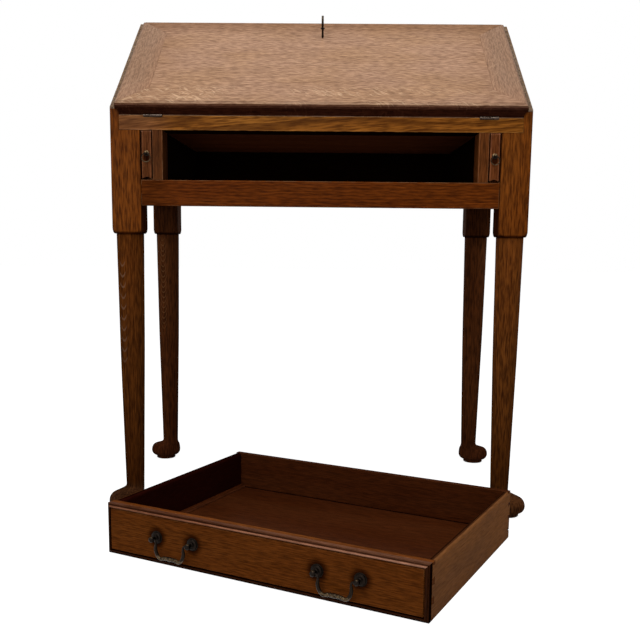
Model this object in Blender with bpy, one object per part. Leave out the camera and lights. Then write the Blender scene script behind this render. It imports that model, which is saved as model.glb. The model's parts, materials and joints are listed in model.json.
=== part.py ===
"""A slant-front oak writing bureau on turned pad-foot legs, its drawer stood on the floor.

Metres, +Z up. In the design frame x runs to the right, y runs back from the front faces of
the legs and z runs up from the floor. The bureau_frame empty carries that frame to the
middle of the whole arrangement, so that the origin lies on the floor under its centre.
"""
import math

import bmesh
import bpy
from mathutils import Matrix, Vector

# Carcass
WIDTH = 0.740                 # across the outer faces of the legs
DEPTH = 0.424                 # front face of the front legs to back face of the back legs
BED_Z = 0.7195                # writing surface, which is also the height of the fall's hinges
TOP_RISE = 0.2151             # upper face of the top board above the writing surface
CORNER_RISE = 0.0130          # front end of the slope above the writing surface
SLANT_RUN = 0.2748            # depth over which the sides rise to the top board
SIDE_T = 0.0157
TOP_BOARD_T = 0.016
TOP_RAIL_H = 0.0247
TOP_RAIL_D = 0.060
BOTTOM_RAIL_H = 0.0446
BOTTOM_RAIL_T = 0.022
OPENING_H = 0.086             # drawer opening between the rails
SIDE_FOOT_UP = 0.017          # lower edge of sides and back rail above that of the bottom rail
BACK_RAIL_T = 0.022
BACK_RAIL_SET = 0.002         # back rail behind the legs' back faces
BACK_PANEL_T = 0.010
BACK_PANEL_SET = 0.006
STILE_W = 0.0177
STILE_D = 0.048
RUNNER_T = 0.018
RUNNER_LEDGE = 0.020          # how far a runner reaches in under the drawer
GUIDE_SET = 0.0008            # loper guides behind the stiles' inner faces
SEAM = 0.0003                 # gap between pieces that touch

# Legs
LEG_BLOCK = 0.053
BLOCK_DROP = 0.0500           # leg blocks below the bottom rail
PUMMEL_H = 0.0145             # height over which the block's corners are turned away
PUMMEL_STEP = 0.0013          # ledge between the block's foot and the turned leg
LEG_TOP_R = 0.0245
LEG_SWELL = 0.0011            # entasis of the taper
ANKLE_R = 0.0166
ANKLE_Z = 0.047
ANKLE_SWEEP = 0.007           # height over which the pad's top turns up into the ankle
PAD_R = 0.0325
PAD_Z = 0.0185                # height of the pad's widest girth
PAD_NOSE_IN = 0.0097          # round of the pad's toe, inward
PAD_NOSE_RISE = 0.0145        # round of the pad's toe, upward
PAD_NOSE_TURN = 75            # degrees of that round
PAD_LEAN = 22                 # slope of the pad's top behind the toe, in degrees
PAD_SHELF = 0.62              # share of the pad's top that keeps the slope
PAD_BASE_R = 0.0212
PAD_BASE_H = 0.0075
PAD_TUCK = 0.0025             # ledge between the base disc and the pad
TOE_OUT = 0.0135              # pad's centre off the leg's axis, in x and in y
LEG_SIDES = 32

# Fall
FALL_T = 0.0245
FALL_LIP = 0.006              # lip over each side
FALL_TOP_LAP = 0.009          # lip over the top board's bevelled edge
FALL_END_GAP = 0.0004
FALL_TOP_GAP = 0.0015
FALL_EDGE_GAP = 0.0008        # hinge axis to the fall's lower edge
FALL_SEAT_GAP = 0.0004
FALL_COVE_R = 0.0045          # hollow under the lip
FALL_LIP_RISE = 0.0002        # fall of the lip's underside from its outer edge
SIDE_ARRIS_R = 0.0052         # rounded inner arris of the sides, under that hollow
THUMB_W = 0.0055              # thumb moulding along the outer edge
THUMB_RISE = 0.0055
THUMB_QUIRK = 0.0009
CLAMP_W = 0.055               # mitred clamp ends

# Hinges
HINGE_IN = 0.0659             # middle of each hinge from the fall's end
HINGE_L = 0.033
BARREL_R = 0.0026
PIN_R = 0.0011
PIN_PLAY = 0.00025
BED_LEAF_W = 0.024
FALL_LEAF_W = 0.026
LEAF_T = 0.0015
GAIN_PLAY = 0.0004            # recess round a hinge

# Lock
KEY_U = 0.2665                # keyhole from the hinge axis, up the slope
LOCK_W = 0.062
LOCK_BELOW_KEY = 0.018
LOCK_DEPTH = 0.011
LOCK_WALL = 0.0015
BOLT_W = 0.018
BOLT_T = 0.005
BOLT_LIFT = 0.003             # bolt above the lock's back plate
BOLT_THROW = 0.015
BOLT_PLAY = 0.0004
BOLT_CLEAR = 0.0035           # bolt's tail clear of the key's sweep
KEY_SHAFT_R = 0.0020
KEY_PLAY = 0.0005
KEY_TIP_H = 0.0022            # end of the key above the fall's inner face
KEY_STAND = 0.014             # plain shank outside the fall
KEY_COLLAR_R = 0.0040
KEY_COLLAR_L = 0.0035
KEY_BOW_R = 0.0112
KEY_BOW_HOLE_R = 0.0070
KEY_BOW_T = 0.0040
KEY_BIT_L = 0.0080            # bit from the shaft's axis
KEY_BIT_W = 0.0050
KEY_BIT_T = 0.0020

# Lopers
LOPER_W = 0.0206
LOPER_PLAY = 0.0004
LOPER_END_PLAY = 0.037        # loper's tail in front of the back rail
LOPER_FIELD_IN = 0.0042       # bevelled border of the front
LOPER_FIELD_RISE = 0.0018
NOTCH_W = 0.016
NOTCH_H = 0.0055
NOTCH_D = 0.014
STOP_L = 0.022
STOP_H = 0.030
STOP_PLAY = 0.0006            # stop clear of the side
STOP_REAR = 0.0344            # stop in front of the back leg
STUD_Z = 0.0455               # pull's eye above the drawer opening's floor
STUD_PLATE_R = 0.0048
STUD_PLATE_T = 0.0012
STUD_NECK_R = 0.0019
STUD_BALL_R = 0.0032
STUD_EYE_R = 0.00155
STUD_OUT = 0.0062             # eye in front of the loper's field
RING_R = 0.0076
RING_WIRE_R = 0.0009

# Pigeonholes
PIGEON_SET = 0.008            # fronts behind the shut fall
PIGEON_T = 0.006
PIGEON_SHELF_UP = 0.095       # shelf's underside above the writing surface
PIGEON_BAY = 0.177            # pitch of the dividers
PIGEON_PLAY = 0.0003

# Drawer
DRAWER_END_PLAY = 0.0045      # drawer's back in front of the back rail
DRAWER_PLAY_X = 0.0015        # each side, in the opening
DRAWER_PLAY_Z = 0.0022
DRAWER_FRONT_T = 0.020
DRAWER_SIDE_T = 0.011
DRAWER_BACK_T = 0.010
DRAWER_BOTTOM_T = 0.006
DRAWER_FLOOR_Z = 0.0145       # upper face of the bottom
DRAWER_GROOVE = 0.005
DRAWER_LAP = 0.011            # front's face to the ends of the sides
SLIP_W = 0.009
SLIP_TOP_Z = 0.0205
SLIP_FOOT_Z = 0.001
TAILS = 3
TAIL_TIP = 0.0190             # width of a dovetail at its end
TAIL_ROOT = 0.0150
DRAWER_AT = (-0.0894, -0.3412)    # middle of the front's face on the floor
DRAWER_YAW = math.radians(-26.76)

# Cock bead round the drawer front
BEAD_W = 0.0070
BEAD_DEPTH = 0.010
BEAD_ROUND_R = 0.0020
BEAD_STEP = 0.0030            # outer fillet behind the face
BEAD_PROUD = 0.0008
BEAD_QUIRK_W = 0.0010
BEAD_QUIRK_D = 0.0025

# Drawer handles
HANDLE_IN = 0.1345            # middle of each handle from the drawer's end
HANDLE_Z = 0.0435
HANDLE_SPREAD = 0.068
ROSE_R = 0.0102
ROSE_T = 0.0045
POST_R = 0.0030
POST_BALL_R = 0.0048
POST_OUT = 0.0135             # bail's axis in front of the drawer front
POST_EYE_R = 0.0019
BAIL_PEG_R = 0.0014
BAIL_BAR_R = 0.0027
BAIL_KNOP_R = 0.0036
BAIL_DROP = 0.0280
BAIL_LIFT = 0.0022            # middle of the bar above the two dips beside it
BAIL_ARM = ((-0.0015, 0.0), (0.0045, 0.0), (0.0077, 0.07), (0.0082, 0.24), (0.0076, 0.48),
            (0.0092, 0.72), (0.0130, 0.92), (0.0175, 1.0),
            (0.0220, 0.95))   # in from the post, share of the drop
BAIL_BAR_HALF = 0.0060        # straight run each side of the knop

# Sizes worked out from those
TOP_Z = BED_Z + TOP_RISE
CORNER_Z = BED_Z + CORNER_RISE
SLOPE = math.atan2(TOP_Z - CORNER_Z, SLANT_RUN)
EDGE_H = CORNER_RISE * math.cos(SLOPE)            # sides' slope above the hinge plane
HALF = WIDTH / 2
LEG_IN = HALF - LEG_BLOCK                         # legs' inner faces
SIDE_IN = HALF - SIDE_T                           # sides' inner faces
RAIL_Z = BED_Z - TOP_RAIL_H                       # underside of top rail and bed
FLOOR_Z = RAIL_Z - OPENING_H                      # floor of the drawer opening
BOTTOM_RAIL_Z = FLOOR_Z - BOTTOM_RAIL_H
SIDE_FOOT_Z = BOTTOM_RAIL_Z + SIDE_FOOT_UP
BLOCK_FOOT_Z = BOTTOM_RAIL_Z - BLOCK_DROP
LOPER_OUT = LEG_IN - LOPER_PLAY
LOPER_IN = LOPER_OUT - LOPER_W
STILE_OUT = LOPER_IN - LOPER_PLAY
OPEN_HALF = STILE_OUT - STILE_W                   # half the drawer opening
TOP_UNDER = TOP_Z - TOP_BOARD_T
BACK_RAIL_Y = DEPTH - BACK_RAIL_SET - BACK_RAIL_T
BACK_PANEL_Y = DEPTH - BACK_PANEL_SET - BACK_PANEL_T
TOP_ARRIS_U = (TOP_UNDER - BED_Z - EDGE_H * math.cos(SLOPE)) / math.sin(SLOPE)
FALL_BODY_HALF = SIDE_IN - FALL_END_GAP
FALL_HALF = FALL_BODY_HALF + FALL_LIP
FALL_BODY_TOP = TOP_ARRIS_U - FALL_TOP_GAP
FALL_TOP = TOP_ARRIS_U + FALL_TOP_LAP
HINGE_AT = FALL_HALF - HINGE_IN
LOPER_L = BACK_RAIL_Y - LOPER_END_PLAY
LOPER_STOP_Y = DEPTH - LEG_BLOCK - STOP_REAR - STOP_L
DRAWER_D = BACK_RAIL_Y - DRAWER_END_PLAY
DRAWER_HALF = OPEN_HALF - DRAWER_PLAY_X
DRAWER_H = RAIL_Z - FLOOR_Z - DRAWER_PLAY_Z
BORE_R = PIN_R + PIN_PLAY
REACH = 1.0                                       # cutters that only need to be large enough
OVER = 0.002                                      # how far a cutter runs past a face

# Finishes: colour, roughness, metallic
OAK = ((0.165, 0.072, 0.026), 0.45, 0.0)
OAK_GOLD = ((0.300, 0.140, 0.045), 0.45, 0.0)
OAK_LID = ((0.235, 0.125, 0.070), 0.40, 0.0)
OAK_CLAMP = ((0.200, 0.100, 0.052), 0.42, 0.0)
OAK_RED = ((0.170, 0.062, 0.022), 0.42, 0.0)
OAK_INSIDE = ((0.105, 0.036, 0.016), 0.55, 0.0)
OAK_PALE = ((0.230, 0.130, 0.062), 0.60, 0.0)
BRASS_DARK = ((0.090, 0.062, 0.036), 0.40, 1.0)
STEEL = ((0.330, 0.300, 0.270), 0.38, 1.0)

SMOOTH_ANGLE = math.radians(35)
SIGNS = (("left", -1), ("right", 1))


def clear_scene():
    """Remove whatever the open file holds."""
    for item in list(bpy.data.objects):
        bpy.data.objects.remove(item, do_unlink=True)


def empty(name, parent=None, location=(0, 0, 0), rotation=(0, 0, 0)):
    """Add a frame that pieces are parented to."""
    frame = bpy.data.objects.new(name, None)
    frame.parent = parent
    frame.location = location
    frame.rotation_euler = rotation
    bpy.context.scene.collection.objects.link(frame)
    return frame


def piece(name, mesh, finish, parent):
    """Add one sub-part with its own material, shaded smooth across its round faces."""
    item = bpy.data.objects.new(name, mesh)
    item.parent = parent
    colour, roughness, metallic = finish
    material = bpy.data.materials.new(name + "_finish")
    material.use_nodes = True
    shader = material.node_tree.nodes["Principled BSDF"]
    shader.inputs["Base Color"].default_value = (*colour, 1.0)
    shader.inputs["Roughness"].default_value = roughness
    shader.inputs["Metallic"].default_value = metallic
    mesh.materials.append(material)
    mesh.shade_smooth()
    mesh.set_sharp_from_angle(angle=SMOOTH_ANGLE)
    bpy.context.scene.collection.objects.link(item)
    return item


def tool(name, mesh, parent):
    """Add a shape that only cuts, joins or trims others."""
    item = bpy.data.objects.new(name, mesh)
    item.parent = parent
    item.hide_render = True
    item.display_type = "WIRE"
    bpy.context.scene.collection.objects.link(item)
    return item


def combine(target, other, operation="DIFFERENCE"):
    """Cut, join or trim a piece by a tool shape."""
    modifier = target.modifiers.new(other.name, "BOOLEAN")
    modifier.object = other
    modifier.operation = operation
    modifier.solver = "EXACT"


def finish_mesh(name, shape):
    """Close a bmesh with its faces pointing out and return it as a mesh."""
    bmesh.ops.recalc_face_normals(shape, faces=shape.faces)
    mesh = bpy.data.meshes.new(name)
    shape.to_mesh(mesh)
    shape.free()
    return mesh


def add_loft(shape, rings):
    """Skin a list of closed rings of points, with a flat cap at each end."""
    rows = [[shape.verts.new(point) for point in ring] for ring in rings]
    for low, high in zip(rows, rows[1:]):
        for near in range(len(low)):
            far = (near + 1) % len(low)
            shape.faces.new((low[near], low[far], high[far], high[near]))
    shape.faces.new(list(reversed(rows[0])))
    shape.faces.new(rows[-1])


def loft(name, rings):
    """Return a mesh skinned over rings of points."""
    shape = bmesh.new()
    add_loft(shape, rings)
    return finish_mesh(name, shape)


def prisms(name, outlines, axis, low, high):
    """Extrude flat outlines along x, y or z; an outline gives the other two, in that order."""
    shape = bmesh.new()
    for outline in outlines:
        ends = []
        for level in (low, high):
            points = []
            for point in outline:
                spot = list(point)
                spot.insert("xyz".index(axis), level)
                points.append(Vector(spot))
            ends.append(points)
        add_loft(shape, ends)
    return finish_mesh(name, shape)


def box(name, x, y, z):
    """Return a block between pairs of x, y and z."""
    outline = [(x[0], y[0]), (x[1], y[0]), (x[1], y[1]), (x[0], y[1])]
    return prisms(name, [outline], "z", z[0], z[1])


def mirrored(sign, low, high):
    """A span of x on one side of the centre line."""
    return (sign * low, sign * high) if sign > 0 else (sign * high, sign * low)


def arc(centre, radius, start, end, steps):
    """Points of a flat arc, its angles in degrees, both ends included."""
    points = []
    for step in range(steps + 1):
        angle = math.radians(start + (end - start) * step / steps)
        points.append((centre[0] + radius * math.cos(angle), centre[1] + radius * math.sin(angle)))
    return points


def disc_rings(profile, sides, axis="z", centre=(0, 0, 0)):
    """Rings of a turned profile of (distance along the axis, radius) pairs."""
    turn = {"x": Matrix.Rotation(math.pi / 2, 3, "Y"), "y": Matrix.Rotation(-math.pi / 2, 3, "X"),
            "z": Matrix.Identity(3)}[axis]
    rings = []
    for along, radius in profile:
        ring = []
        for side in range(sides):
            angle = 2 * math.pi * side / sides
            ring.append(turn @ Vector((radius * math.cos(angle), radius * math.sin(angle), along))
                        + Vector(centre))
        rings.append(ring)
    return rings


def ball_profile(radius, neck_r, steps):
    """Profile of a ball from the neck that carries it to its far pole, the ball's middle at 0."""
    start = math.asin(neck_r / radius)
    profile = []
    for step in range(steps + 1):
        angle = start + (math.radians(165) - start) * step / steps
        profile.append((-radius * math.cos(angle), radius * math.sin(angle)))
    return profile


def smooth_path(points, steps):
    """Points along a Catmull-Rom curve through the given ones."""
    spots = [Vector(point) for point in points]
    ends = [2 * spots[0] - spots[1]] + spots + [2 * spots[-1] - spots[-2]]
    path = []
    for first, second, third, fourth in zip(ends, ends[1:], ends[2:], ends[3:]):
        for step in range(steps):
            t = step / steps
            path.append(0.5 * (2 * second + (third - first) * t
                               + (2 * first - 5 * second + 4 * third - fourth) * t ** 2
                               + (3 * second - first - 3 * third + fourth) * t ** 3))
    path.append(spots[-1])
    return path


def flat_tube_rings(path, radii, sides):
    """Rings of a round bar along a path that lies in a plane of constant y."""
    rings = []
    for place, (spot, radius) in enumerate(zip(path, radii)):
        ahead = path[min(place + 1, len(path) - 1)] - path[max(place - 1, 0)]
        across = Vector((-ahead.z, 0, ahead.x)).normalized()
        ring = []
        for side in range(sides):
            angle = 2 * math.pi * side / sides
            ring.append(spot + radius * (math.cos(angle) * across + math.sin(angle) * Vector((0, 1, 0))))
        rings.append(ring)
    return rings


def ease(share):
    """Smooth step from 0 to 1."""
    return 0.5 - 0.5 * math.cos(math.pi * share)


def toe_line():
    """Reach and height of the pad's outer line, round the toe and up its top to the ankle."""
    line = []
    for step in range(1, 5):
        turn = math.radians(PAD_NOSE_TURN * step / 4)
        line.append((TOE_OUT + PAD_R - PAD_NOSE_IN * (1 - math.cos(turn)),
                     PAD_Z + PAD_NOSE_RISE * math.sin(turn)))
    start = line[-1]
    run = (start[0] - ANKLE_R) * PAD_SHELF
    pulls = (start, (start[0] - run, start[1] + run * math.tan(math.radians(PAD_LEAN))),
             (ANKLE_R, ANKLE_Z - ANKLE_SWEEP), (ANKLE_R, ANKLE_Z))
    for step in range(1, 6):
        far = step / 5
        near = 1 - far
        weights = (near ** 3, 3 * near ** 2 * far, 3 * near * far ** 2, far ** 3)
        line.append(tuple(sum(weight * pull[part] for weight, pull in zip(weights, pulls))
                          for part in (0, 1)))
    return line


def leg_girths():
    """Height, radius and share of the toe's offset, from the floor to the square block."""
    girths = [(0, PAD_BASE_R, 1), (PAD_BASE_H, PAD_BASE_R, 1)]
    for angle in (0, 30, 60, 90):
        rise = math.radians(angle)
        girths.append((PAD_BASE_H + (PAD_Z - PAD_BASE_H) * (1 - math.cos(rise)) + 0.0001,
                       PAD_BASE_R + PAD_TUCK + (PAD_R - PAD_BASE_R - PAD_TUCK) * math.sin(rise), 1))
    for reach, height in toe_line():
        inner = PAD_R - TOE_OUT + (ANKLE_R - PAD_R + TOE_OUT) * ease((height - PAD_Z) / (ANKLE_Z - PAD_Z))
        girths.append((height, (reach + inner) / 2, (reach - inner) / 2 / TOE_OUT))
    for step in range(1, 6):
        share = step / 5
        swell = LEG_SWELL * math.sin(math.pi * share)
        girths.append((ANKLE_Z + (BLOCK_FOOT_Z - ANKLE_Z) * share,
                       ANKLE_R + (LEG_TOP_R - ANKLE_R) * share + swell, 0))
    corner = LEG_BLOCK / math.sqrt(2)
    shoulder = LEG_TOP_R + PUMMEL_STEP
    for angle in (0, 25, 50, 70, 90):
        turn = math.radians(angle)
        girths.append((BLOCK_FOOT_Z + PUMMEL_H * (1 - math.cos(turn)) + 0.0001,
                       shoulder + (corner - shoulder) * math.sin(turn), 0))
    return girths


def leg_mesh(name, sign, back, top):
    """A leg: pad foot turned off-centre, tapered shaft, and square block with a turned foot."""
    half = LEG_BLOCK / 2
    axis = Vector((sign * (HALF - half), DEPTH - half if back else half, 0))
    toe = Vector((sign * TOE_OUT, TOE_OUT if back else -TOE_OUT, 0))
    rings = []
    for height, radius, share in leg_girths() + [(top, LEG_BLOCK, 0)]:
        ring = []
        for side in range(LEG_SIDES):
            angle = 2 * math.pi * side / LEG_SIDES
            flat = half / max(abs(math.cos(angle)), abs(math.sin(angle)))
            reach = radius if share else min(radius, flat)
            ring.append(axis + toe * share
                        + Vector((reach * math.cos(angle), reach * math.sin(angle), height)))
        rings.append(ring)
    return loft(name, rings)


def build_legs(frame, slope_tool, arris_tools):
    """Four legs, each notched at the top so that only a strip as thick as the side runs on up."""
    front_top = CORNER_Z + LEG_BLOCK * math.tan(SLOPE) + OVER
    for hand, sign in SIGNS:
        for row, back in (("front", False), ("back", True)):
            name = f"{row}_leg_{hand}"
            leg = piece(name, leg_mesh(name, sign, back, TOP_UNDER - SEAM if back else front_top),
                        OAK, frame)
            y = (DEPTH - LEG_BLOCK - OVER, DEPTH + OVER) if back else (-OVER, LEG_BLOCK + OVER)
            notch = box(name + "_notch", mirrored(sign, LEG_IN - OVER, SIDE_IN), y,
                        (RAIL_Z - SEAM, TOP_Z + OVER))
            combine(leg, tool(name + "_notch", notch, frame))
            if not back:
                combine(leg, slope_tool)
                combine(leg, arris_tools[sign])


def build_carcass(frame, slope_tool, arris_tools):
    """Sides, top, back, rails, stiles, bed, runners and loper guides."""
    inside = (-SIDE_IN + SEAM, SIDE_IN - SEAM)
    between_legs = (-LEG_IN + SEAM, LEG_IN - SEAM)
    for hand, sign in SIGNS:
        side = piece(f"side_panel_{hand}",
                     box("side", mirrored(sign, SIDE_IN, HALF),
                         (LEG_BLOCK + SEAM, DEPTH - LEG_BLOCK - SEAM), (SIDE_FOOT_Z, TOP_UNDER - SEAM)),
                     OAK, frame)
        combine(side, slope_tool)
        combine(side, arris_tools[sign])
        piece(f"stile_{hand}",
              box("stile", mirrored(sign, OPEN_HALF, STILE_OUT), (0, STILE_D),
                  (FLOOR_Z + SEAM, RAIL_Z - SEAM)), OAK, frame)
        piece(f"drawer_runner_{hand}",
              box("runner", mirrored(sign, OPEN_HALF - RUNNER_LEDGE, LEG_IN - SEAM),
                  (BOTTOM_RAIL_T + SEAM, BACK_RAIL_Y - SEAM), (FLOOR_Z - RUNNER_T, FLOOR_Z)),
              OAK_INSIDE, frame)
        piece(f"loper_guide_{hand}",
              box("guide", mirrored(sign, OPEN_HALF + GUIDE_SET, STILE_OUT),
                  (STILE_D + SEAM, BACK_RAIL_Y - SEAM), (FLOOR_Z + SEAM, RAIL_Z - SEAM)),
              OAK_INSIDE, frame)
    top = piece("top_board", box("top_board", (-HALF, HALF), (0, DEPTH), (TOP_UNDER, TOP_Z)), OAK, frame)
    combine(top, slope_tool)
    piece("back_panel", box("back_panel", inside, (BACK_PANEL_Y, BACK_PANEL_Y + BACK_PANEL_T),
                            (RAIL_Z, TOP_UNDER - SEAM)), OAK_PALE, frame)
    piece("back_rail", box("back_rail", between_legs, (BACK_RAIL_Y, BACK_RAIL_Y + BACK_RAIL_T),
                           (SIDE_FOOT_Z, RAIL_Z - SEAM)), OAK_PALE, frame)
    piece("bottom_rail", box("bottom_rail", between_legs, (0, BOTTOM_RAIL_T),
                             (BOTTOM_RAIL_Z, FLOOR_Z)), OAK, frame)
    piece("desk_bed", box("desk_bed", inside, (TOP_RAIL_D + SEAM, BACK_PANEL_Y - SEAM),
                          (RAIL_Z, BED_Z)), OAK_INSIDE, frame)
    rail = piece("top_rail", box("top_rail", inside, (0, TOP_RAIL_D), (RAIL_Z, BED_Z)), OAK_GOLD, frame)
    return rail, top


def build_pigeonholes(frame):
    """One shelf halved into three dividers, behind the shut fall."""
    front = (TOP_UNDER - BED_Z) / math.tan(SLOPE) + PIGEON_SET
    rear = BACK_PANEL_Y - SEAM
    middle = (front + rear) / 2
    shelf_z = (BED_Z + PIGEON_SHELF_UP, BED_Z + PIGEON_SHELF_UP + PIGEON_T)
    shelf = piece("pigeonhole_shelf",
                  box("shelf", (-SIDE_IN + SEAM, SIDE_IN - SEAM), (front, rear), shelf_z), OAK_INSIDE, frame)
    for name, place in (("left", -PIGEON_BAY), ("middle", 0), ("right", PIGEON_BAY)):
        span = (place - PIGEON_T / 2, place + PIGEON_T / 2)
        divider = piece(f"pigeonhole_divider_{name}",
                        box("divider", span, (front, rear), (BED_Z + SEAM, TOP_UNDER - SEAM)),
                        OAK_INSIDE, frame)
        halving = box("halving", (span[0] - OVER, span[1] + OVER), (front - OVER, middle + PIGEON_PLAY),
                      (shelf_z[0] - PIGEON_PLAY, shelf_z[1] + PIGEON_PLAY))
        combine(divider, tool(f"halving_divider_{name}", halving, frame))
        slot = box("slot", (span[0] - PIGEON_PLAY, span[1] + PIGEON_PLAY), (middle, rear + OVER),
                   (shelf_z[0] - OVER, shelf_z[1] + OVER))
        combine(shelf, tool(f"halving_shelf_{name}", slot, frame))


def fall_rings():
    """Rectangles of the fall from its inner face out: rebate, hollow, lip and thumb moulding."""
    seat = EDGE_H + FALL_SEAT_GAP
    levels = [(0, FALL_BODY_HALF, FALL_BODY_TOP, 0)]
    for angle in (0, 30, 60, 90):
        turn = math.radians(angle)
        levels.append((seat - FALL_COVE_R + FALL_COVE_R * math.sin(turn),
                       FALL_BODY_HALF + FALL_COVE_R * (1 - math.cos(turn)), FALL_BODY_TOP, 0))
    levels.append((seat + FALL_LIP_RISE, FALL_HALF, FALL_TOP, 0))
    for angle in (0, 25, 50, 75, 90):
        turn = math.radians(angle)
        inset = THUMB_W * (1 - math.cos(turn))
        levels.append((FALL_T - THUMB_QUIRK - THUMB_RISE + THUMB_RISE * math.sin(turn),
                       FALL_HALF - inset, FALL_TOP - inset, inset))
    inset = THUMB_W + THUMB_QUIRK / 3
    levels.append((FALL_T, FALL_HALF - inset, FALL_TOP - inset, inset))
    rings = []
    for height, half, top, inset in levels:
        low = FALL_EDGE_GAP + inset
        rings.append([Vector((-half, low, height)), Vector((half, low, height)),
                      Vector((half, top, height)), Vector((-half, top, height))])
    return rings


def build_fall(fall):
    """The sloping lid: a panel between two mitred clamps, trimmed from one moulded board."""
    joint = FALL_HALF - CLAMP_W
    low, high = FALL_EDGE_GAP, FALL_TOP
    for hand, sign in SIGNS:
        clamp = piece(f"fall_clamp_{hand}", loft("clamp", fall_rings()), OAK_CLAMP, fall)
        outline = [(sign * (FALL_HALF + CLAMP_W), low - CLAMP_W), (sign * joint, low + CLAMP_W),
                   (sign * joint, high - CLAMP_W), (sign * (FALL_HALF + CLAMP_W), high + CLAMP_W)]
        trim = prisms("clamp_trim", [outline], "z", -OVER, FALL_T + OVER)
        combine(clamp, tool(f"clamp_trim_{hand}", trim, fall), "INTERSECT")
    panel = piece("fall_panel", loft("panel", fall_rings()), OAK_LID, fall)
    flat = joint - SEAM
    point = FALL_HALF + CLAMP_W - 2 * SEAM
    right = [(point, low - CLAMP_W), (flat, low + CLAMP_W), (flat, high - CLAMP_W), (point, high + CLAMP_W)]
    left = [(-x, u) for x, u in reversed(right)]
    trim = prisms("panel_trim", [right + left], "z", -OVER, FALL_T + OVER)
    combine(panel, tool("panel_trim", trim, fall), "INTERSECT")
    return panel


def tube_mesh(name, spans, outer, inner):
    """Bored barrels along x, one for each span of x."""
    shape = bmesh.new()
    for low, high in spans:
        rows = disc_rings([(low, outer), (high, outer), (high, inner), (low, inner)], 16, "x")
        loops = [[shape.verts.new(point) for point in ring] for ring in rows]
        for first, second in zip(loops, loops[1:] + loops[:1]):
            for near in range(len(first)):
                far = (near + 1) % len(first)
                shape.faces.new((first[near], first[far], second[far], second[near]))
    return finish_mesh(name, shape)


def hinge_leaf(name, place, spans, width, up, finish, frame):
    """A hinge leaf: a plate with a tongue into each of its own knuckles."""
    clear = BARREL_R + GAIN_PLAY
    outline = [(-HINGE_L / 2, clear)]
    for low, high in spans:
        outline += [(low, clear), (low, BORE_R + GAIN_PLAY), (high, BORE_R + GAIN_PLAY), (high, clear)]
    outline += [(HINGE_L / 2, clear), (HINGE_L / 2, width), (-HINGE_L / 2, width)]
    corners = []
    for spot in outline:
        if not corners or spot != corners[-1]:
            corners.append(spot)
    if corners[0] == corners[1]:
        corners.pop(0)
    mesh = prisms(name, [corners], "z", *((0, LEAF_T) if up else (-LEAF_T, 0)))
    mesh.transform(Matrix.Translation((place, 0, 0)))
    leaf = piece(name, mesh, finish, frame)
    knuckles = tube_mesh(name + "_knuckles", spans, BARREL_R, BORE_R)
    knuckles.transform(Matrix.Translation((place, 0, 0)))
    combine(leaf, tool(name + "_knuckles", knuckles, frame), "UNION")


def build_hinges(bed, fall, rail, panel):
    """Two let-in hinges: leaf on the top rail, leaf on the fall's inner face, and pin."""
    third = HINGE_L / 3
    bed_spans = [(-HINGE_L / 2, -third / 2 - SEAM), (third / 2 + SEAM, HINGE_L / 2)]
    fall_spans = [(-third / 2, third / 2)]
    for hand, sign in SIGNS:
        place = sign * HINGE_AT
        hinge_leaf(f"hinge_bed_leaf_{hand}", place, bed_spans, BED_LEAF_W, False, STEEL, bed)
        hinge_leaf(f"hinge_fall_leaf_{hand}", place, fall_spans, FALL_LEAF_W, True, STEEL, fall)
        pin = loft("pin", disc_rings([(-HINGE_L / 2, PIN_R), (HINGE_L / 2, PIN_R)], 12, "x", (place, 0, 0)))
        piece(f"hinge_pin_{hand}", pin, STEEL, bed)
        span = (place - HINGE_L / 2 - GAIN_PLAY, place + HINGE_L / 2 + GAIN_PLAY)
        barrel = loft("gain", disc_rings([(span[0], BARREL_R + GAIN_PLAY), (span[1], BARREL_R + GAIN_PLAY)],
                                         16, "x"))
        barrel_tool = tool(f"barrel_gain_{hand}", barrel, bed)
        for target, frame, width, level in ((rail, bed, BED_LEAF_W, (-LEAF_T - SEAM, OVER)),
                                            (panel, fall, FALL_LEAF_W, (-OVER, LEAF_T + SEAM))):
            gain = box("gain", span, (-OVER, width + SEAM), level)
            combine(target, tool(f"leaf_gain_{target.name}_{hand}", gain, frame))
            combine(target, barrel_tool)


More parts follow.
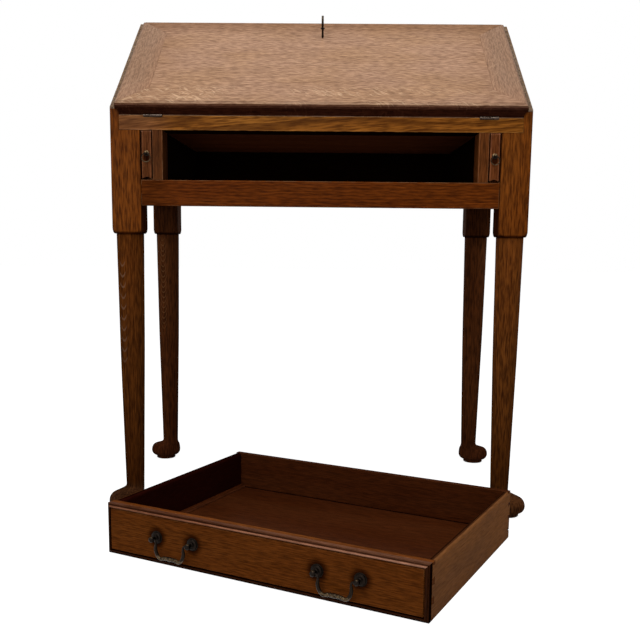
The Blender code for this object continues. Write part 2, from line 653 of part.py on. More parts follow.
def build_lock(fall, panel, top):
    """Lock case let into the fall, its bolt, the key, and the slot that the bolt enters."""
    half = LOCK_W / 2
    low = KEY_U - LOCK_BELOW_KEY
    case = piece("lock_case", box("lock_case", (-half, half), (low, FALL_BODY_TOP), (0, LOCK_DEPTH)),
                 BRASS_DARK, fall)
    hollow = box("lock_hollow", (-half + LOCK_WALL, half - LOCK_WALL),
                 (low + LOCK_WALL, FALL_BODY_TOP - LOCK_WALL), (LOCK_WALL, LOCK_DEPTH + OVER))
    combine(case, tool("lock_hollow", hollow, fall))
    bolt_h = (BOLT_LIFT, BOLT_LIFT + BOLT_T)
    mouth = box("bolt_mouth", (-BOLT_W / 2 - BOLT_PLAY, BOLT_W / 2 + BOLT_PLAY),
                (FALL_BODY_TOP - 2 * LOCK_WALL, FALL_BODY_TOP + OVER),
                (bolt_h[0] - BOLT_PLAY, bolt_h[1] + BOLT_PLAY))
    combine(case, tool("bolt_mouth", mouth, fall))
    recess = box("lock_recess", (-half - SEAM, half + SEAM), (low - SEAM, FALL_BODY_TOP + OVER),
                 (-OVER, LOCK_DEPTH + SEAM))
    combine(panel, tool("lock_recess", recess, fall))
    bolt_frame = empty("bolt_frame", fall, (0, KEY_U, 0))
    piece("lock_bolt", box("lock_bolt", (-BOLT_W / 2, BOLT_W / 2),
                           (KEY_BIT_L + BOLT_CLEAR, FALL_BODY_TOP - KEY_U - SEAM), bolt_h),
          BRASS_DARK, bolt_frame)
    slot = box("bolt_slot", (-BOLT_W / 2 - 2 * BOLT_PLAY, BOLT_W / 2 + 2 * BOLT_PLAY),
               (FALL_BODY_TOP, FALL_BODY_TOP + BOLT_THROW + 4 * BOLT_PLAY),
               (bolt_h[0] - 2 * BOLT_PLAY, bolt_h[1] + 2 * BOLT_PLAY))
    combine(top, tool("bolt_slot", slot, fall))
    build_key(fall, panel, bolt_h[0])


def build_key(fall, panel, bit_h):
    """Key with shank, collar, ring bow and bit, and the keyhole that it goes through."""
    frame = empty("key_frame", fall, (0, KEY_U, 0))
    shank_end = FALL_T + KEY_STAND
    collar_end = shank_end + KEY_COLLAR_L
    bow_h = collar_end + KEY_BOW_R - SEAM
    profile = [(KEY_TIP_H, KEY_SHAFT_R), (shank_end, KEY_SHAFT_R),
               (shank_end + KEY_COLLAR_L / 3, KEY_COLLAR_R),
               (collar_end - KEY_COLLAR_L / 3, KEY_COLLAR_R),
               (collar_end, KEY_SHAFT_R), (collar_end + KEY_COLLAR_L / 3, KEY_SHAFT_R)]
    key = piece("key", loft("key", disc_rings(profile, 16)), BRASS_DARK, frame)
    bit = box("key_bit", (-KEY_BIT_T / 2, KEY_BIT_T / 2), (-KEY_BIT_L, 0), (bit_h, bit_h + KEY_BIT_W))
    combine(key, tool("key_bit", bit, frame), "UNION")
    bow = tube_mesh("key_bow", [(-KEY_BOW_T / 2, KEY_BOW_T / 2)], KEY_BOW_R, KEY_BOW_HOLE_R)
    bow.transform(Matrix.Translation((0, 0, bow_h)))
    combine(key, tool("key_bow", bow, frame), "UNION")
    hole_r = KEY_SHAFT_R + KEY_PLAY
    bore = loft("keyhole", disc_rings([(0, hole_r), (FALL_T + OVER, hole_r)], 16))
    combine(panel, tool("keyhole", bore, frame))
    ward = box("keyhole_slot", (-KEY_BIT_T / 2 - KEY_PLAY, KEY_BIT_T / 2 + KEY_PLAY),
               (-KEY_BIT_L - KEY_PLAY, 0), (0, FALL_T + OVER))
    combine(panel, tool("keyhole_slot", ward, frame))


def build_lopers(frame):
    """Two pull-out supports with fielded fronts, finger notches, stops and ring pulls."""
    foot, head = FLOOR_Z + SEAM, RAIL_Z - LOPER_PLAY
    for hand, sign in SIGNS:
        slide = empty(f"loper_frame_{hand}", frame, (sign * (LOPER_IN + LOPER_OUT) / 2, 0, foot))
        half, height = LOPER_W / 2, head - foot
        rings = []
        for y, inset in ((0, LOPER_FIELD_IN), (LOPER_FIELD_RISE, 0), (LOPER_L, 0)):
            low, high, wide = inset, height - inset, half - inset
            rings.append([Vector((-wide, y, low)), Vector((wide, y, low)),
                          Vector((wide, y, high)), Vector((-wide, y, high))])
        loper = piece(f"loper_{hand}", loft("loper", rings), OAK_RED, slide)
        radius = ((NOTCH_W / 2) ** 2 + NOTCH_H ** 2) / (2 * NOTCH_H)
        scoop = loft("notch", disc_rings([(-OVER, radius), (NOTCH_D, radius)], 32, "y",
                                         (0, 0, NOTCH_H - radius)))
        combine(loper, tool(f"loper_notch_{hand}", scoop, slide))
        inner = half + SEAM
        outer = SIDE_IN - STOP_PLAY - (LOPER_IN + LOPER_OUT) / 2
        middle = height / 2
        piece(f"loper_stop_{hand}",
              box("stop", mirrored(sign, inner, outer), (LOPER_STOP_Y, LOPER_STOP_Y + STOP_L),
                  (middle - STOP_H / 2, middle + STOP_H / 2)), OAK_INSIDE, slide)
        build_pull(hand, slide)


def build_pull(hand, slide):
    """A ring that hangs in the eye of a turned stud on a loper's front."""
    eye = Vector((0, -STUD_OUT, STUD_Z))
    profile = [(SEAM, STUD_PLATE_R), (STUD_PLATE_T * 0.6, STUD_PLATE_R), (STUD_PLATE_T, STUD_PLATE_R * 0.75),
               (STUD_PLATE_T + SEAM, STUD_NECK_R)]
    profile += [(STUD_OUT + along, radius) for along, radius in ball_profile(STUD_BALL_R, STUD_NECK_R, 7)]
    rings = disc_rings([(-along, radius) for along, radius in profile], 16, "y", (0, 0, STUD_Z))
    stud = piece(f"loper_stud_{hand}", loft("stud", rings), BRASS_DARK, slide)
    bore = loft("eye", disc_rings([(-STUD_BALL_R - OVER, STUD_EYE_R), (STUD_BALL_R + OVER, STUD_EYE_R)],
                                  12, "x", eye))
    combine(stud, tool(f"stud_eye_{hand}", bore, slide))
    pivot = empty(f"ring_frame_{hand}", slide, eye)
    shape = bmesh.new()
    loops = []
    for turn in range(28):
        angle = 2 * math.pi * turn / 28
        outward = Vector((math.sin(angle), 0, math.cos(angle)))
        loops.append([shape.verts.new(Vector((0, 0, -RING_R)) + outward * (RING_R + RING_WIRE_R * a)
                                      + Vector((0, RING_WIRE_R * b, 0)))
                      for a, b in arc((0, 0), 1, 0, 315, 7)])
    for first, second in zip(loops, loops[1:] + loops[:1]):
        for near in range(8):
            far = (near + 1) % 8
            shape.faces.new((first[near], first[far], second[far], second[near]))
    piece(f"loper_ring_{hand}", finish_mesh("ring", shape), BRASS_DARK, pivot)


def tail_outlines(root, tip, low, high, play=0.0):
    """Dovetails across a drawer side's end, as (y, z) outlines."""
    pitch = (high - low) / TAILS
    outlines = []
    for number in range(TAILS):
        middle = low + (number + 0.5) * pitch
        at_root, at_tip = TAIL_ROOT / 2 + play, TAIL_TIP / 2 + play
        outlines.append([(root, middle - at_root), (tip, middle - at_tip),
                         (tip, middle + at_tip), (root, middle + at_root)])
    return outlines


def gap_outlines(root, tip, low, high):
    """The spaces between those dovetails, which the other board's pins fill."""
    past = tip + math.copysign(OVER, tip - root)
    edges = [[(root, low - OVER), (past, low - OVER)]]
    for outline in tail_outlines(root, tip, low, high):
        edges.append([outline[0], outline[1]])
        edges.append([outline[3], outline[2]])
    edges.append([(root, high + OVER), (past, high + OVER)])
    gaps = []
    for lower, upper in zip(edges[0::2], edges[1::2]):
        gaps.append([lower[0], lower[1], (past, lower[1][1]), (past, upper[1][1]), upper[1], upper[0]])
    return [list(dict.fromkeys(gap)) for gap in gaps]


def build_drawer(drawer):
    """Dovetailed drawer with slips, bottom, cock-beaded front and two handles."""
    front = piece("drawer_front", front_mesh(), OAK_RED, drawer)
    groove = (DRAWER_FLOOR_Z - DRAWER_BOTTOM_T - SEAM, DRAWER_FLOOR_Z + SEAM)
    inner_half = DRAWER_HALF - DRAWER_SIDE_T
    combine(front, tool("front_groove",
                        box("front_groove", (-inner_half, inner_half),
                            (DRAWER_FRONT_T - DRAWER_GROOVE, DRAWER_FRONT_T + OVER), groove), drawer))
    back_low = DRAWER_FLOOR_Z + SEAM
    back_y = (DRAWER_D - DRAWER_BACK_T, DRAWER_D)
    back = piece("drawer_back",
                 box("drawer_back", (-DRAWER_HALF, DRAWER_HALF), back_y, (back_low, DRAWER_H)),
                 OAK_INSIDE, drawer)
    ends = ((front, DRAWER_FRONT_T + SEAM, DRAWER_LAP + SEAM, 0.0),
            (back, back_y[0] - SEAM, back_y[1], back_low))
    for hand, sign in SIGNS:
        name = f"drawer_side_{hand}"
        round_r = DRAWER_SIDE_T / 2
        crown = arc((DRAWER_HALF - round_r, DRAWER_H - round_r), round_r, 0, 180, 8)
        outline = [(sign * x, z) for x, z in [(inner_half, 0), (DRAWER_HALF, 0)] + crown]
        side = piece(name, prisms(name, [outline], "y", DRAWER_LAP + SEAM, DRAWER_D), OAK_INSIDE, drawer)
        for board, root, tip, low in ends:
            label = f"{board.name}_{hand}"
            span = mirrored(sign, inner_half - OVER, DRAWER_HALF + OVER)
            gaps = prisms("pins", gap_outlines(root, tip, low, DRAWER_H), "x", *span)
            combine(side, tool(f"pins_{label}", gaps, drawer))
            past = tip - SEAM if board is front else tip + OVER
            start = root + math.copysign(OVER, root - tip)
            tails = [[(start, t[0][1]), t[0], t[1], (past, t[1][1]),
                      (past, t[2][1]), t[2], t[3], (start, t[3][1])]
                     for t in tail_outlines(root, tip, low, DRAWER_H, SEAM)]
            sockets = prisms("tails", tails, "x", *mirrored(sign, inner_half - SEAM, DRAWER_HALF + OVER))
            combine(board, tool(f"tails_{label}", sockets, drawer))
        build_slip(hand, sign, inner_half, groove, drawer)
    side_groove = inner_half - SLIP_W + DRAWER_GROOVE
    piece("drawer_bottom",
          box("drawer_bottom", (-side_groove + SEAM, side_groove - SEAM),
              (DRAWER_FRONT_T - DRAWER_GROOVE + SEAM, DRAWER_D), (groove[0] + SEAM, groove[1] - SEAM)),
          OAK_INSIDE, drawer)
    build_beads(drawer)
    for hand, sign in SIGNS:
        build_handle(hand, sign, drawer)


def front_mesh():
    """Drawer front: a face with a quirk round it, stepped back for the cock bead."""
    rings = []
    step = BEAD_W + SEAM
    for y, inset in ((0, step + BEAD_QUIRK_W), (BEAD_QUIRK_D, step + BEAD_QUIRK_W), (BEAD_QUIRK_D, step),
                     (BEAD_DEPTH + SEAM, step), (BEAD_DEPTH + SEAM, 0), (DRAWER_FRONT_T, 0)):
        wide, low, high = DRAWER_HALF - inset, inset, DRAWER_H - inset
        rings.append([Vector((-wide, y, low)), Vector((wide, y, low)),
                      Vector((wide, y, high)), Vector((-wide, y, high))])
    return loft("drawer_front", rings)


def build_slip(hand, sign, inner_half, groove, drawer):
    """Quadrant slip inside a drawer side, grooved for the bottom."""
    wall, edge = inner_half - SEAM, inner_half - SLIP_W
    root = edge + DRAWER_GROOVE
    quadrant = SLIP_TOP_Z - groove[1] - SEAM
    outline = [(wall, SLIP_FOOT_Z), (edge, SLIP_FOOT_Z), (edge, groove[0]),
               (root, groove[0]), (root, groove[1]), (edge, groove[1])]
    outline += arc((edge + quadrant, SLIP_TOP_Z - quadrant), quadrant, 180, 90, 4)
    outline += [(wall, SLIP_TOP_Z)]
    mesh = prisms("slip", [[(sign * x, z) for x, z in outline]], "y",
                  DRAWER_FRONT_T + SEAM, DRAWER_D - DRAWER_BACK_T - SEAM)
    piece(f"drawer_slip_{hand}", mesh, OAK_INSIDE, drawer)


def bead_section():
    """Cock bead's section as (inset from the outer edge, depth behind the face) points."""
    middle = BEAD_W - BEAD_ROUND_R
    nose = [(middle + BEAD_ROUND_R * math.cos(a), BEAD_ROUND_R - BEAD_PROUD - BEAD_ROUND_R * math.sin(a))
            for a in (math.radians(30 * step) for step in range(7))]
    fillet = [(middle - BEAD_ROUND_R, BEAD_STEP), (0, BEAD_STEP)]
    return [(BEAD_W, BEAD_DEPTH)] + nose + fillet + [(0, BEAD_DEPTH)]


def build_beads(drawer):
    """Four mitred strips of cock bead round the drawer front."""
    mitre = SEAM / 2
    for name, run in (("top", 0), ("bottom", 0), ("left", 1), ("right", 1)):
        rings = []
        for end in (-1, 1):
            ring = []
            for inset, depth in bead_section():
                if run:
                    side = -1 if name == "left" else 1
                    along = inset + mitre if end < 0 else DRAWER_H - inset - mitre
                    ring.append(Vector((side * (DRAWER_HALF - inset), depth, along)))
                else:
                    level = DRAWER_H - inset if name == "top" else inset
                    ring.append(Vector((end * (DRAWER_HALF - inset - mitre), depth, level)))
            rings.append(ring)
        piece(f"cock_bead_{name}", loft(name, rings), OAK_RED, drawer)


def build_handle(hand, sign, drawer):
    """A swan-necked bail between two turned posts on domed roses."""
    middle = sign * (DRAWER_HALF - HANDLE_IN)
    pivot = empty(f"bail_frame_{hand}", drawer, (middle, -POST_OUT, HANDLE_Z))
    for number, end in enumerate((-1, 1)):
        place = middle + end * HANDLE_SPREAD / 2
        profile = [(SEAM, ROSE_R), (ROSE_T * 0.3, ROSE_R), (ROSE_T * 0.55, ROSE_R * 0.86),
                   (ROSE_T * 0.8, ROSE_R * 0.66), (ROSE_T, POST_R * 1.5), (ROSE_T + SEAM, POST_R)]
        profile += [(POST_OUT + along, radius) for along, radius in ball_profile(POST_BALL_R, POST_R, 7)]
        rings = disc_rings([(-along, radius) for along, radius in profile], 18, "y", (place, 0, HANDLE_Z))
        index = number + (1 if sign < 0 else 3)
        post = piece(f"handle_post_{index}", loft("post", rings), BRASS_DARK, drawer)
        span = POST_BALL_R + OVER
        bore = loft("post_eye", disc_rings([(-span, POST_EYE_R), (span, POST_EYE_R)], 12, "x",
                                           (place, -POST_OUT, HANDLE_Z)))
        combine(post, tool(f"post_eye_{index}", bore, drawer))
    piece(f"bail_{hand}", bail_mesh(), BRASS_DARK, pivot)


def bail_mesh():
    """The bail's bar: pegs in the posts, arms that neck in and dip, and a raised bar with a knop."""
    reach = HANDLE_SPREAD / 2
    arm = [(reach - inward, 0, -share * BAIL_DROP) for inward, share in BAIL_ARM]
    level = BAIL_LIFT - BAIL_DROP
    arm.append((BAIL_BAR_HALF, 0, level))
    route = [(-x, y, z) for x, y, z in arm] + [(0, 0, level)] + list(reversed(arm))
    path = smooth_path(route, 2)
    radii = []
    for spot in path:
        bar = BAIL_PEG_R + (BAIL_BAR_R - BAIL_PEG_R) * ease(min(1, -spot.z / BAIL_DROP))
        knop = math.exp(-(spot.x / BAIL_KNOP_R) ** 2)
        radii.append(bar + (BAIL_KNOP_R - BAIL_BAR_R) * knop if spot.z < -BAIL_DROP / 2 else bar)
    return loft("bail", flat_tube_rings(path, radii, 8))


def arrangement_middle():
    """Middle of the whole arrangement in y, between the drawer's near bead and the back feet."""
    nose = DRAWER_HALF - BEAD_W + BEAD_ROUND_R
    near = (DRAWER_AT[1] + nose * math.sin(DRAWER_YAW)
            + (BEAD_ROUND_R - BEAD_PROUD) * math.cos(DRAWER_YAW) - BEAD_ROUND_R)
    far = DEPTH - LEG_BLOCK / 2 + TOE_OUT + PAD_R
    return (near + far) / 2


def build():
    """Build the bureau and the drawer that stands in front of it."""
    clear_scene()
    root = empty("bureau_frame", None, (0, -arrangement_middle(), 0))
    bed = empty("hinge_line", root, (0, 0, BED_Z))
    fall = empty("fall_frame", bed, (0, 0, 0), (SLOPE, 0, 0))
    slope_tool = tool("slope_cut", box("slope_cut", (-REACH, REACH), (-REACH, REACH), (EDGE_H, REACH)), fall)
    arris_tools = {}
    for hand, sign in SIGNS:
        corner = (SIDE_IN + SIDE_ARRIS_R, EDGE_H - SIDE_ARRIS_R)
        outline = [(SIDE_IN - OVER, EDGE_H - SIDE_ARRIS_R)]
        outline += arc(corner, SIDE_ARRIS_R, 180, 90, 5)
        outline += [(SIDE_IN + SIDE_ARRIS_R, EDGE_H + OVER), (SIDE_IN - OVER, EDGE_H + OVER)]
        round_over = prisms("arris", [[(sign * x, h) for x, h in outline]], "y", -REACH, REACH)
        arris_tools[sign] = tool(f"arris_{hand}", round_over, fall)
    build_legs(root, slope_tool, arris_tools)
    rail, top = build_carcass(root, slope_tool, arris_tools)
    build_pigeonholes(root)
    panel = build_fall(fall)
    build_hinges(bed, fall, rail, panel)
    build_lock(fall, panel, top)
    build_lopers(root)
    drawer = empty("drawer_frame", root, (DRAWER_AT[0], DRAWER_AT[1], 0), (0, 0, DRAWER_YAW))
    build_drawer(drawer)


build()
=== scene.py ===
"""Looks of an oak writing bureau whose drawer stands on the floor in front of it.

Metres, +Z up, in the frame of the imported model: x runs to the right, y runs back, the floor is z = 0.
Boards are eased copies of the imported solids, turned and bent pieces are made afresh at a finer grain,
and every finish is worked out by nodes from the piece's own coordinates.
"""
import json
import logging
import math
from collections.abc import Callable, Iterable, Sequence
from dataclasses import dataclass, field, replace
from enum import Enum, IntEnum

import bmesh
import bpy
from mathutils import Matrix, Vector


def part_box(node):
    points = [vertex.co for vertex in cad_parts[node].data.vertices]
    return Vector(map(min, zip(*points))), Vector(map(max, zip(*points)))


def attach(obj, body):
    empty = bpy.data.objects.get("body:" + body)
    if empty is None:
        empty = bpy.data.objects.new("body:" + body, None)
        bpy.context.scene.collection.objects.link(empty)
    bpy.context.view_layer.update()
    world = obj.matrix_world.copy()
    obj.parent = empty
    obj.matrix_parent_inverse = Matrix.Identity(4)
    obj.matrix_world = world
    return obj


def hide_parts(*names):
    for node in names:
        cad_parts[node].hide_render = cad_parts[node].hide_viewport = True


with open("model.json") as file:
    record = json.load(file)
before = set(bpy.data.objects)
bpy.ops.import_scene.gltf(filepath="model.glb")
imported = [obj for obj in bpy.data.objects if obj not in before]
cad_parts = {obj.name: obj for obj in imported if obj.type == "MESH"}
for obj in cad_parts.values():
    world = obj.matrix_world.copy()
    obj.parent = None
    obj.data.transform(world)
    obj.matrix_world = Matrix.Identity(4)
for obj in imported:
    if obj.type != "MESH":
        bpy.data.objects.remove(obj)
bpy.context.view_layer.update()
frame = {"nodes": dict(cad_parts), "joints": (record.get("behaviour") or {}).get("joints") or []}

LOG = logging.getLogger("bureau")
Pair = tuple[float, float]
Point = tuple[float, float, float]
Colour = tuple[float, float, float, float]
Material = bpy.types.Material
Mesh = bpy.types.Mesh
Node = bpy.types.Node
NodeTree = bpy.types.NodeTree
Object = bpy.types.Object
Socket = bpy.types.NodeSocket
Sockets = dict[str, Socket]
Feed = Socket | float | Sequence[float]
BOTH = (-1, 1)
# Distance under which points are merged
MERGE = 1e-6
# Angles between faces: flat below the first, an arris above the second, shaded smooth below the third
FLAT_ANGLE = math.radians(0.5)
SHARP_ANGLE = math.radians(28)
SMOOTH_ANGLE = math.radians(38)
# Lengths: least width of a flat face, gap between touching pieces, reach of a cutter past a face,
# a hair's breadth, and well past everything
FLAT_WIDTH = 0.003
SEAM = 0.0003
OVER = 0.002
HAIR = 0.0001
FAR = 1.0
# Facets of a bored eye, and angle that is left flat at the pole of a ball
EYE_SIDES = 24
POLE = 0.06
JOINTS = {joint["name"]: joint for joint in frame["joints"]}


def tone(red: int, green: int, blue: int) -> Colour:
    """Return a colour given as it looks on a screen, 0 to 255, as linear light.

    Args:
        red: Level of red.
        green: Level of green.
        blue: Level of blue.

    Returns:
        The linear colour.
    """
    def linear(level: int) -> float:
        """Undo the screen's curve for one channel."""
        share = level / 255
        return share / 12.92 if share <= 0.04045 else ((share + 0.055) / 1.055) ** 2.4
    return (linear(red), linear(green), linear(blue), 1.0)


def ease(share: float) -> float:
    """Return a smooth step from 0 to 1."""
    return 0.5 - 0.5 * math.cos(math.pi * share)


def quarter(steps: int) -> list[float]:
    """Return the angles of a quarter turn in equal steps, with both ends."""
    return [math.pi / 2 * step / steps for step in range(steps + 1)]


class Hand(Enum):
    """One side of the bureau, with the sign of its x."""

    LEFT = -1
    RIGHT = 1

    @property
    def word(self) -> str:
        """Return the side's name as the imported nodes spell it."""
        return self.name.lower()


class Way(IntEnum):
    """A direction of a board: along its grain, across it, or through its thickness."""

    ALONG = 0
    ACROSS = 1
    THROUGH = 2


class Grain(Enum):
    """How a board lies in its seat: axis along the grain, and axis square to its show face."""

    RAIL = ((1, 0, 0), (0, -1, 0))
    POST = ((0, 0, 1), (0, -1, 0))
    SIDE = ((0, 1, 0), (1, 0, 0))
    BED = ((1, 0, 0), (0, 0, 1))
    DEEP = ((0, 1, 0), (0, 0, 1))
    UPRIGHT = ((0, 0, 1), (1, 0, 0))


@dataclass(frozen=True)
class Seat:
    """A frame that pieces are drawn in: its origin and its x and y axes in the model's frame."""

    origin: Point
    x: Point = (1.0, 0.0, 0.0)
    y: Point = (0.0, 1.0, 0.0)

    @property
    def turn(self) -> Matrix:
        """Return the rotation from the seat's axes to the model's."""
        x, y = Vector(self.x), Vector(self.y)
        return Matrix((x, y, x.cross(y))).transposed()

    @property
    def matrix(self) -> Matrix:
        """Return the placing of a mesh that was drawn in this seat."""
        return Matrix.Translation(self.origin) @ self.turn.to_4x4()

    def lay(self, grain: Grain) -> Matrix:
        """Return the rotation that brings model axes to (along, across, face) of a board."""
        along, face = (self.turn @ Vector(axis) for axis in grain.value)
        return Matrix((along, face.cross(along), face))

    def spots(self, node: str) -> list[Vector]:
        """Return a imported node's points along this seat's axes."""
        inverse = self.matrix.inverted()
        return [inverse @ vertex.co for vertex in frame["nodes"][node].data.vertices]


def corners(points: Iterable[Vector]) -> tuple[Vector, Vector]:
    """Return the low and high corners of some points."""
    columns = list(zip(*points))
    return Vector(map(min, columns)), Vector(map(max, columns))


def joint_vector(name: str, key: str) -> Point:
    """Return a joint's axis or place as a tuple."""
    return tuple(JOINTS[name][key])


HINGE_LINE = joint_vector("fall_hinge", "pos_m")
CARCASS_SEAT = Seat((0.0, HINGE_LINE[1], 0.0))
FALL_SEAT = Seat(HINGE_LINE, y=joint_vector("bolt_throw", "axis"))


class Graph:
    """Adds and links the nodes of one shader or geometry tree."""

    def __init__(self, tree: NodeTree) -> None:
        """Keep the tree that nodes go into."""
        self.tree = tree

    def add(self, kind: str, inputs: dict[str | int, Feed] | None = None, **settings: object) -> Node:
        """Add one node.

        Args:
            kind: Type of the node.
            inputs: Values or sockets, by the input's name or number.
            settings: Properties of the node.

        Returns:
            The new node.
        """
        node = self.tree.nodes.new(kind)
        for name, value in settings.items():
            setattr(node, name, value)
        self.feed(node, inputs or {})
        return node

    def feed(self, node: Node, inputs: dict[str | int, Feed]) -> None:
        """Link or set some inputs of a node, by their names or numbers.

        Args:
            node: Node of this tree.
            inputs: Values or sockets.
        """
        for key, value in inputs.items():
            if isinstance(value, Socket):
                self.tree.links.new(value, node.inputs[key])
            else:
                node.inputs[key].default_value = value

    def out(self, kind: str, inputs: dict[str | int, Feed] | None = None, **settings: object) -> Socket:
        """Add one node and return its first output."""
        return self.add(kind, inputs, **settings).outputs[0]

    def group(self, tree: NodeTree, inputs: dict[str | int, Feed]) -> Node:
        """Add a shader group."""
        return self.add("ShaderNodeGroup", inputs, node_tree=tree)

    def math(self, operation: str, first: Feed, second: Feed = 0.0, third: Feed = 0.0) -> Socket:
        """Return the result of a Math node."""
        return self.out("ShaderNodeMath", {0: first, 1: second, 2: third}, operation=operation)

    def times(self, first: Feed, second: Feed) -> Socket:
        """Return a product."""
        return self.math("MULTIPLY", first, second)

    def times_plus(self, first: Feed, second: Feed, third: Feed) -> Socket:
        """Return a product with a third value added."""
        return self.math("MULTIPLY_ADD", first, second, third)

    def less(self, first: Feed, second: Feed) -> Socket:
        """Return a difference."""
        return self.math("SUBTRACT", first, second)

    def vector(self, operation: str, first: Feed, second: Feed = (0, 0, 0)) -> Socket:
        """Return the result of a Vector Math node, which is a number for a length or a dot product."""
        node = self.add("ShaderNodeVectorMath", {0: first, 1: second}, operation=operation)
        return node.outputs["Value" if operation in ("LENGTH", "DOT_PRODUCT") else "Vector"]

    def stretch(self, vector: Feed, factors: Feed) -> Socket:
        """Return a vector with each part multiplied."""
        return self.vector("MULTIPLY", vector, factors)

    def turn(self, vector: Feed, angle: Feed) -> Socket:
        """Return a vector turned about its third axis."""
        return self.out("ShaderNodeVectorRotate", {"Vector": vector, "Angle": angle}, rotation_type="Z_AXIS")

    def parts(self, vector: Feed) -> Sequence[Socket]:
        """Return a vector's three parts."""
        return self.add("ShaderNodeSeparateXYZ", {0: vector}).outputs

    def noise(self, vector: Feed, scales: Feed, detail: float = 2.0, roughness: float = 0.5,
              distortion: float = 0.0) -> Socket:
        """Return a noise between 0 and 1, with its own scale along each axis.

        Args:
            vector: Where it is read.
            scales: Scale along each axis.
            detail: Octaves.
            roughness: Strength of the finer octaves.
            distortion: How far it is bent.

        Returns:
            The noise's socket.
        """
        inputs = {"Vector": self.stretch(vector, scales), "Scale": 1.0, "Detail": detail,
                  "Roughness": roughness, "Distortion": distortion}
        return self.out("ShaderNodeTexNoise", inputs)

    def step(self, value: Feed, low: Feed, high: Feed, to: Pair = (0.0, 1.0)) -> Socket:
        """Return a smooth step of a value between two levels.

        Args:
            value: What is tested.
            low: Level where the step starts.
            high: Level where the step ends.
            to: Results at the two levels.

        Returns:
            The step's socket.
        """
        inputs = {"Value": value, "From Min": low, "From Max": high, "To Min": to[0], "To Max": to[1]}
        return self.out("ShaderNodeMapRange", inputs, interpolation_type="SMOOTHSTEP")

    def fade(self, value: Feed, low: Feed, high: Feed) -> Socket:
        """Return a smooth step down from 1 to 0 between two levels."""
        return self.step(value, low, high, (1.0, 0.0))

    def blend(self, share: Feed, first: Feed, second: Feed) -> Socket:
        """Return two colours mixed."""
        return self.add("ShaderNodeMix", {0: share, 6: first, 7: second}, data_type="RGBA").outputs[2]

    def stain(self, share: Feed, colour: Feed, shade: Feed) -> Socket:
        """Return a colour multiplied by a shade, as far as the share says."""
        return self.add("ShaderNodeMix", {0: share, 6: colour, 7: shade}, data_type="RGBA",
                        blend_type="MULTIPLY").outputs[2]


def kind_of(title: str) -> str:
    """Return the kind of a shader group's socket, from its name.

    Args:
        title: Name of the socket.

    Returns:
        Vector, Color or Float.
    """
    if title in ("Vector", "Seed", "Pith", "Place", "Dash Scale", "Patch Scale"):
        return "Vector"
    if title in ("Color", "Light", "Dark", "Tint", "Shade", "Worn", "Metal", "Patina"):
        return "Color"
    return "Float"


def shader_group(name: str, inputs: Sequence[str], outputs: Sequence[str],
                 wire: Callable[[Graph, Sockets], Sockets]) -> NodeTree:
    """Build one shader node group.

    Args:
        name: Name of the group.
        inputs: Names of its inputs.
        outputs: Names of its outputs.
        wire: Adds the nodes, given the inputs' sockets by name, and returns the outputs' by name.

    Returns:
        The group.
    """
    tree = bpy.data.node_groups.new(name, "ShaderNodeTree")
    for in_out, titles in (("INPUT", inputs), ("OUTPUT", outputs)):
        for title in titles:
            tree.interface.new_socket(title, in_out=in_out, socket_type=f"NodeSocket{kind_of(title)}")
    graph = Graph(tree)
    entry = graph.add("NodeGroupInput")
    leave = graph.add("NodeGroupOutput")
    made = wire(graph, {title: entry.outputs[title] for title in inputs})
    for title, socket in made.items():
        tree.links.new(socket, leave.inputs[title])
    return tree


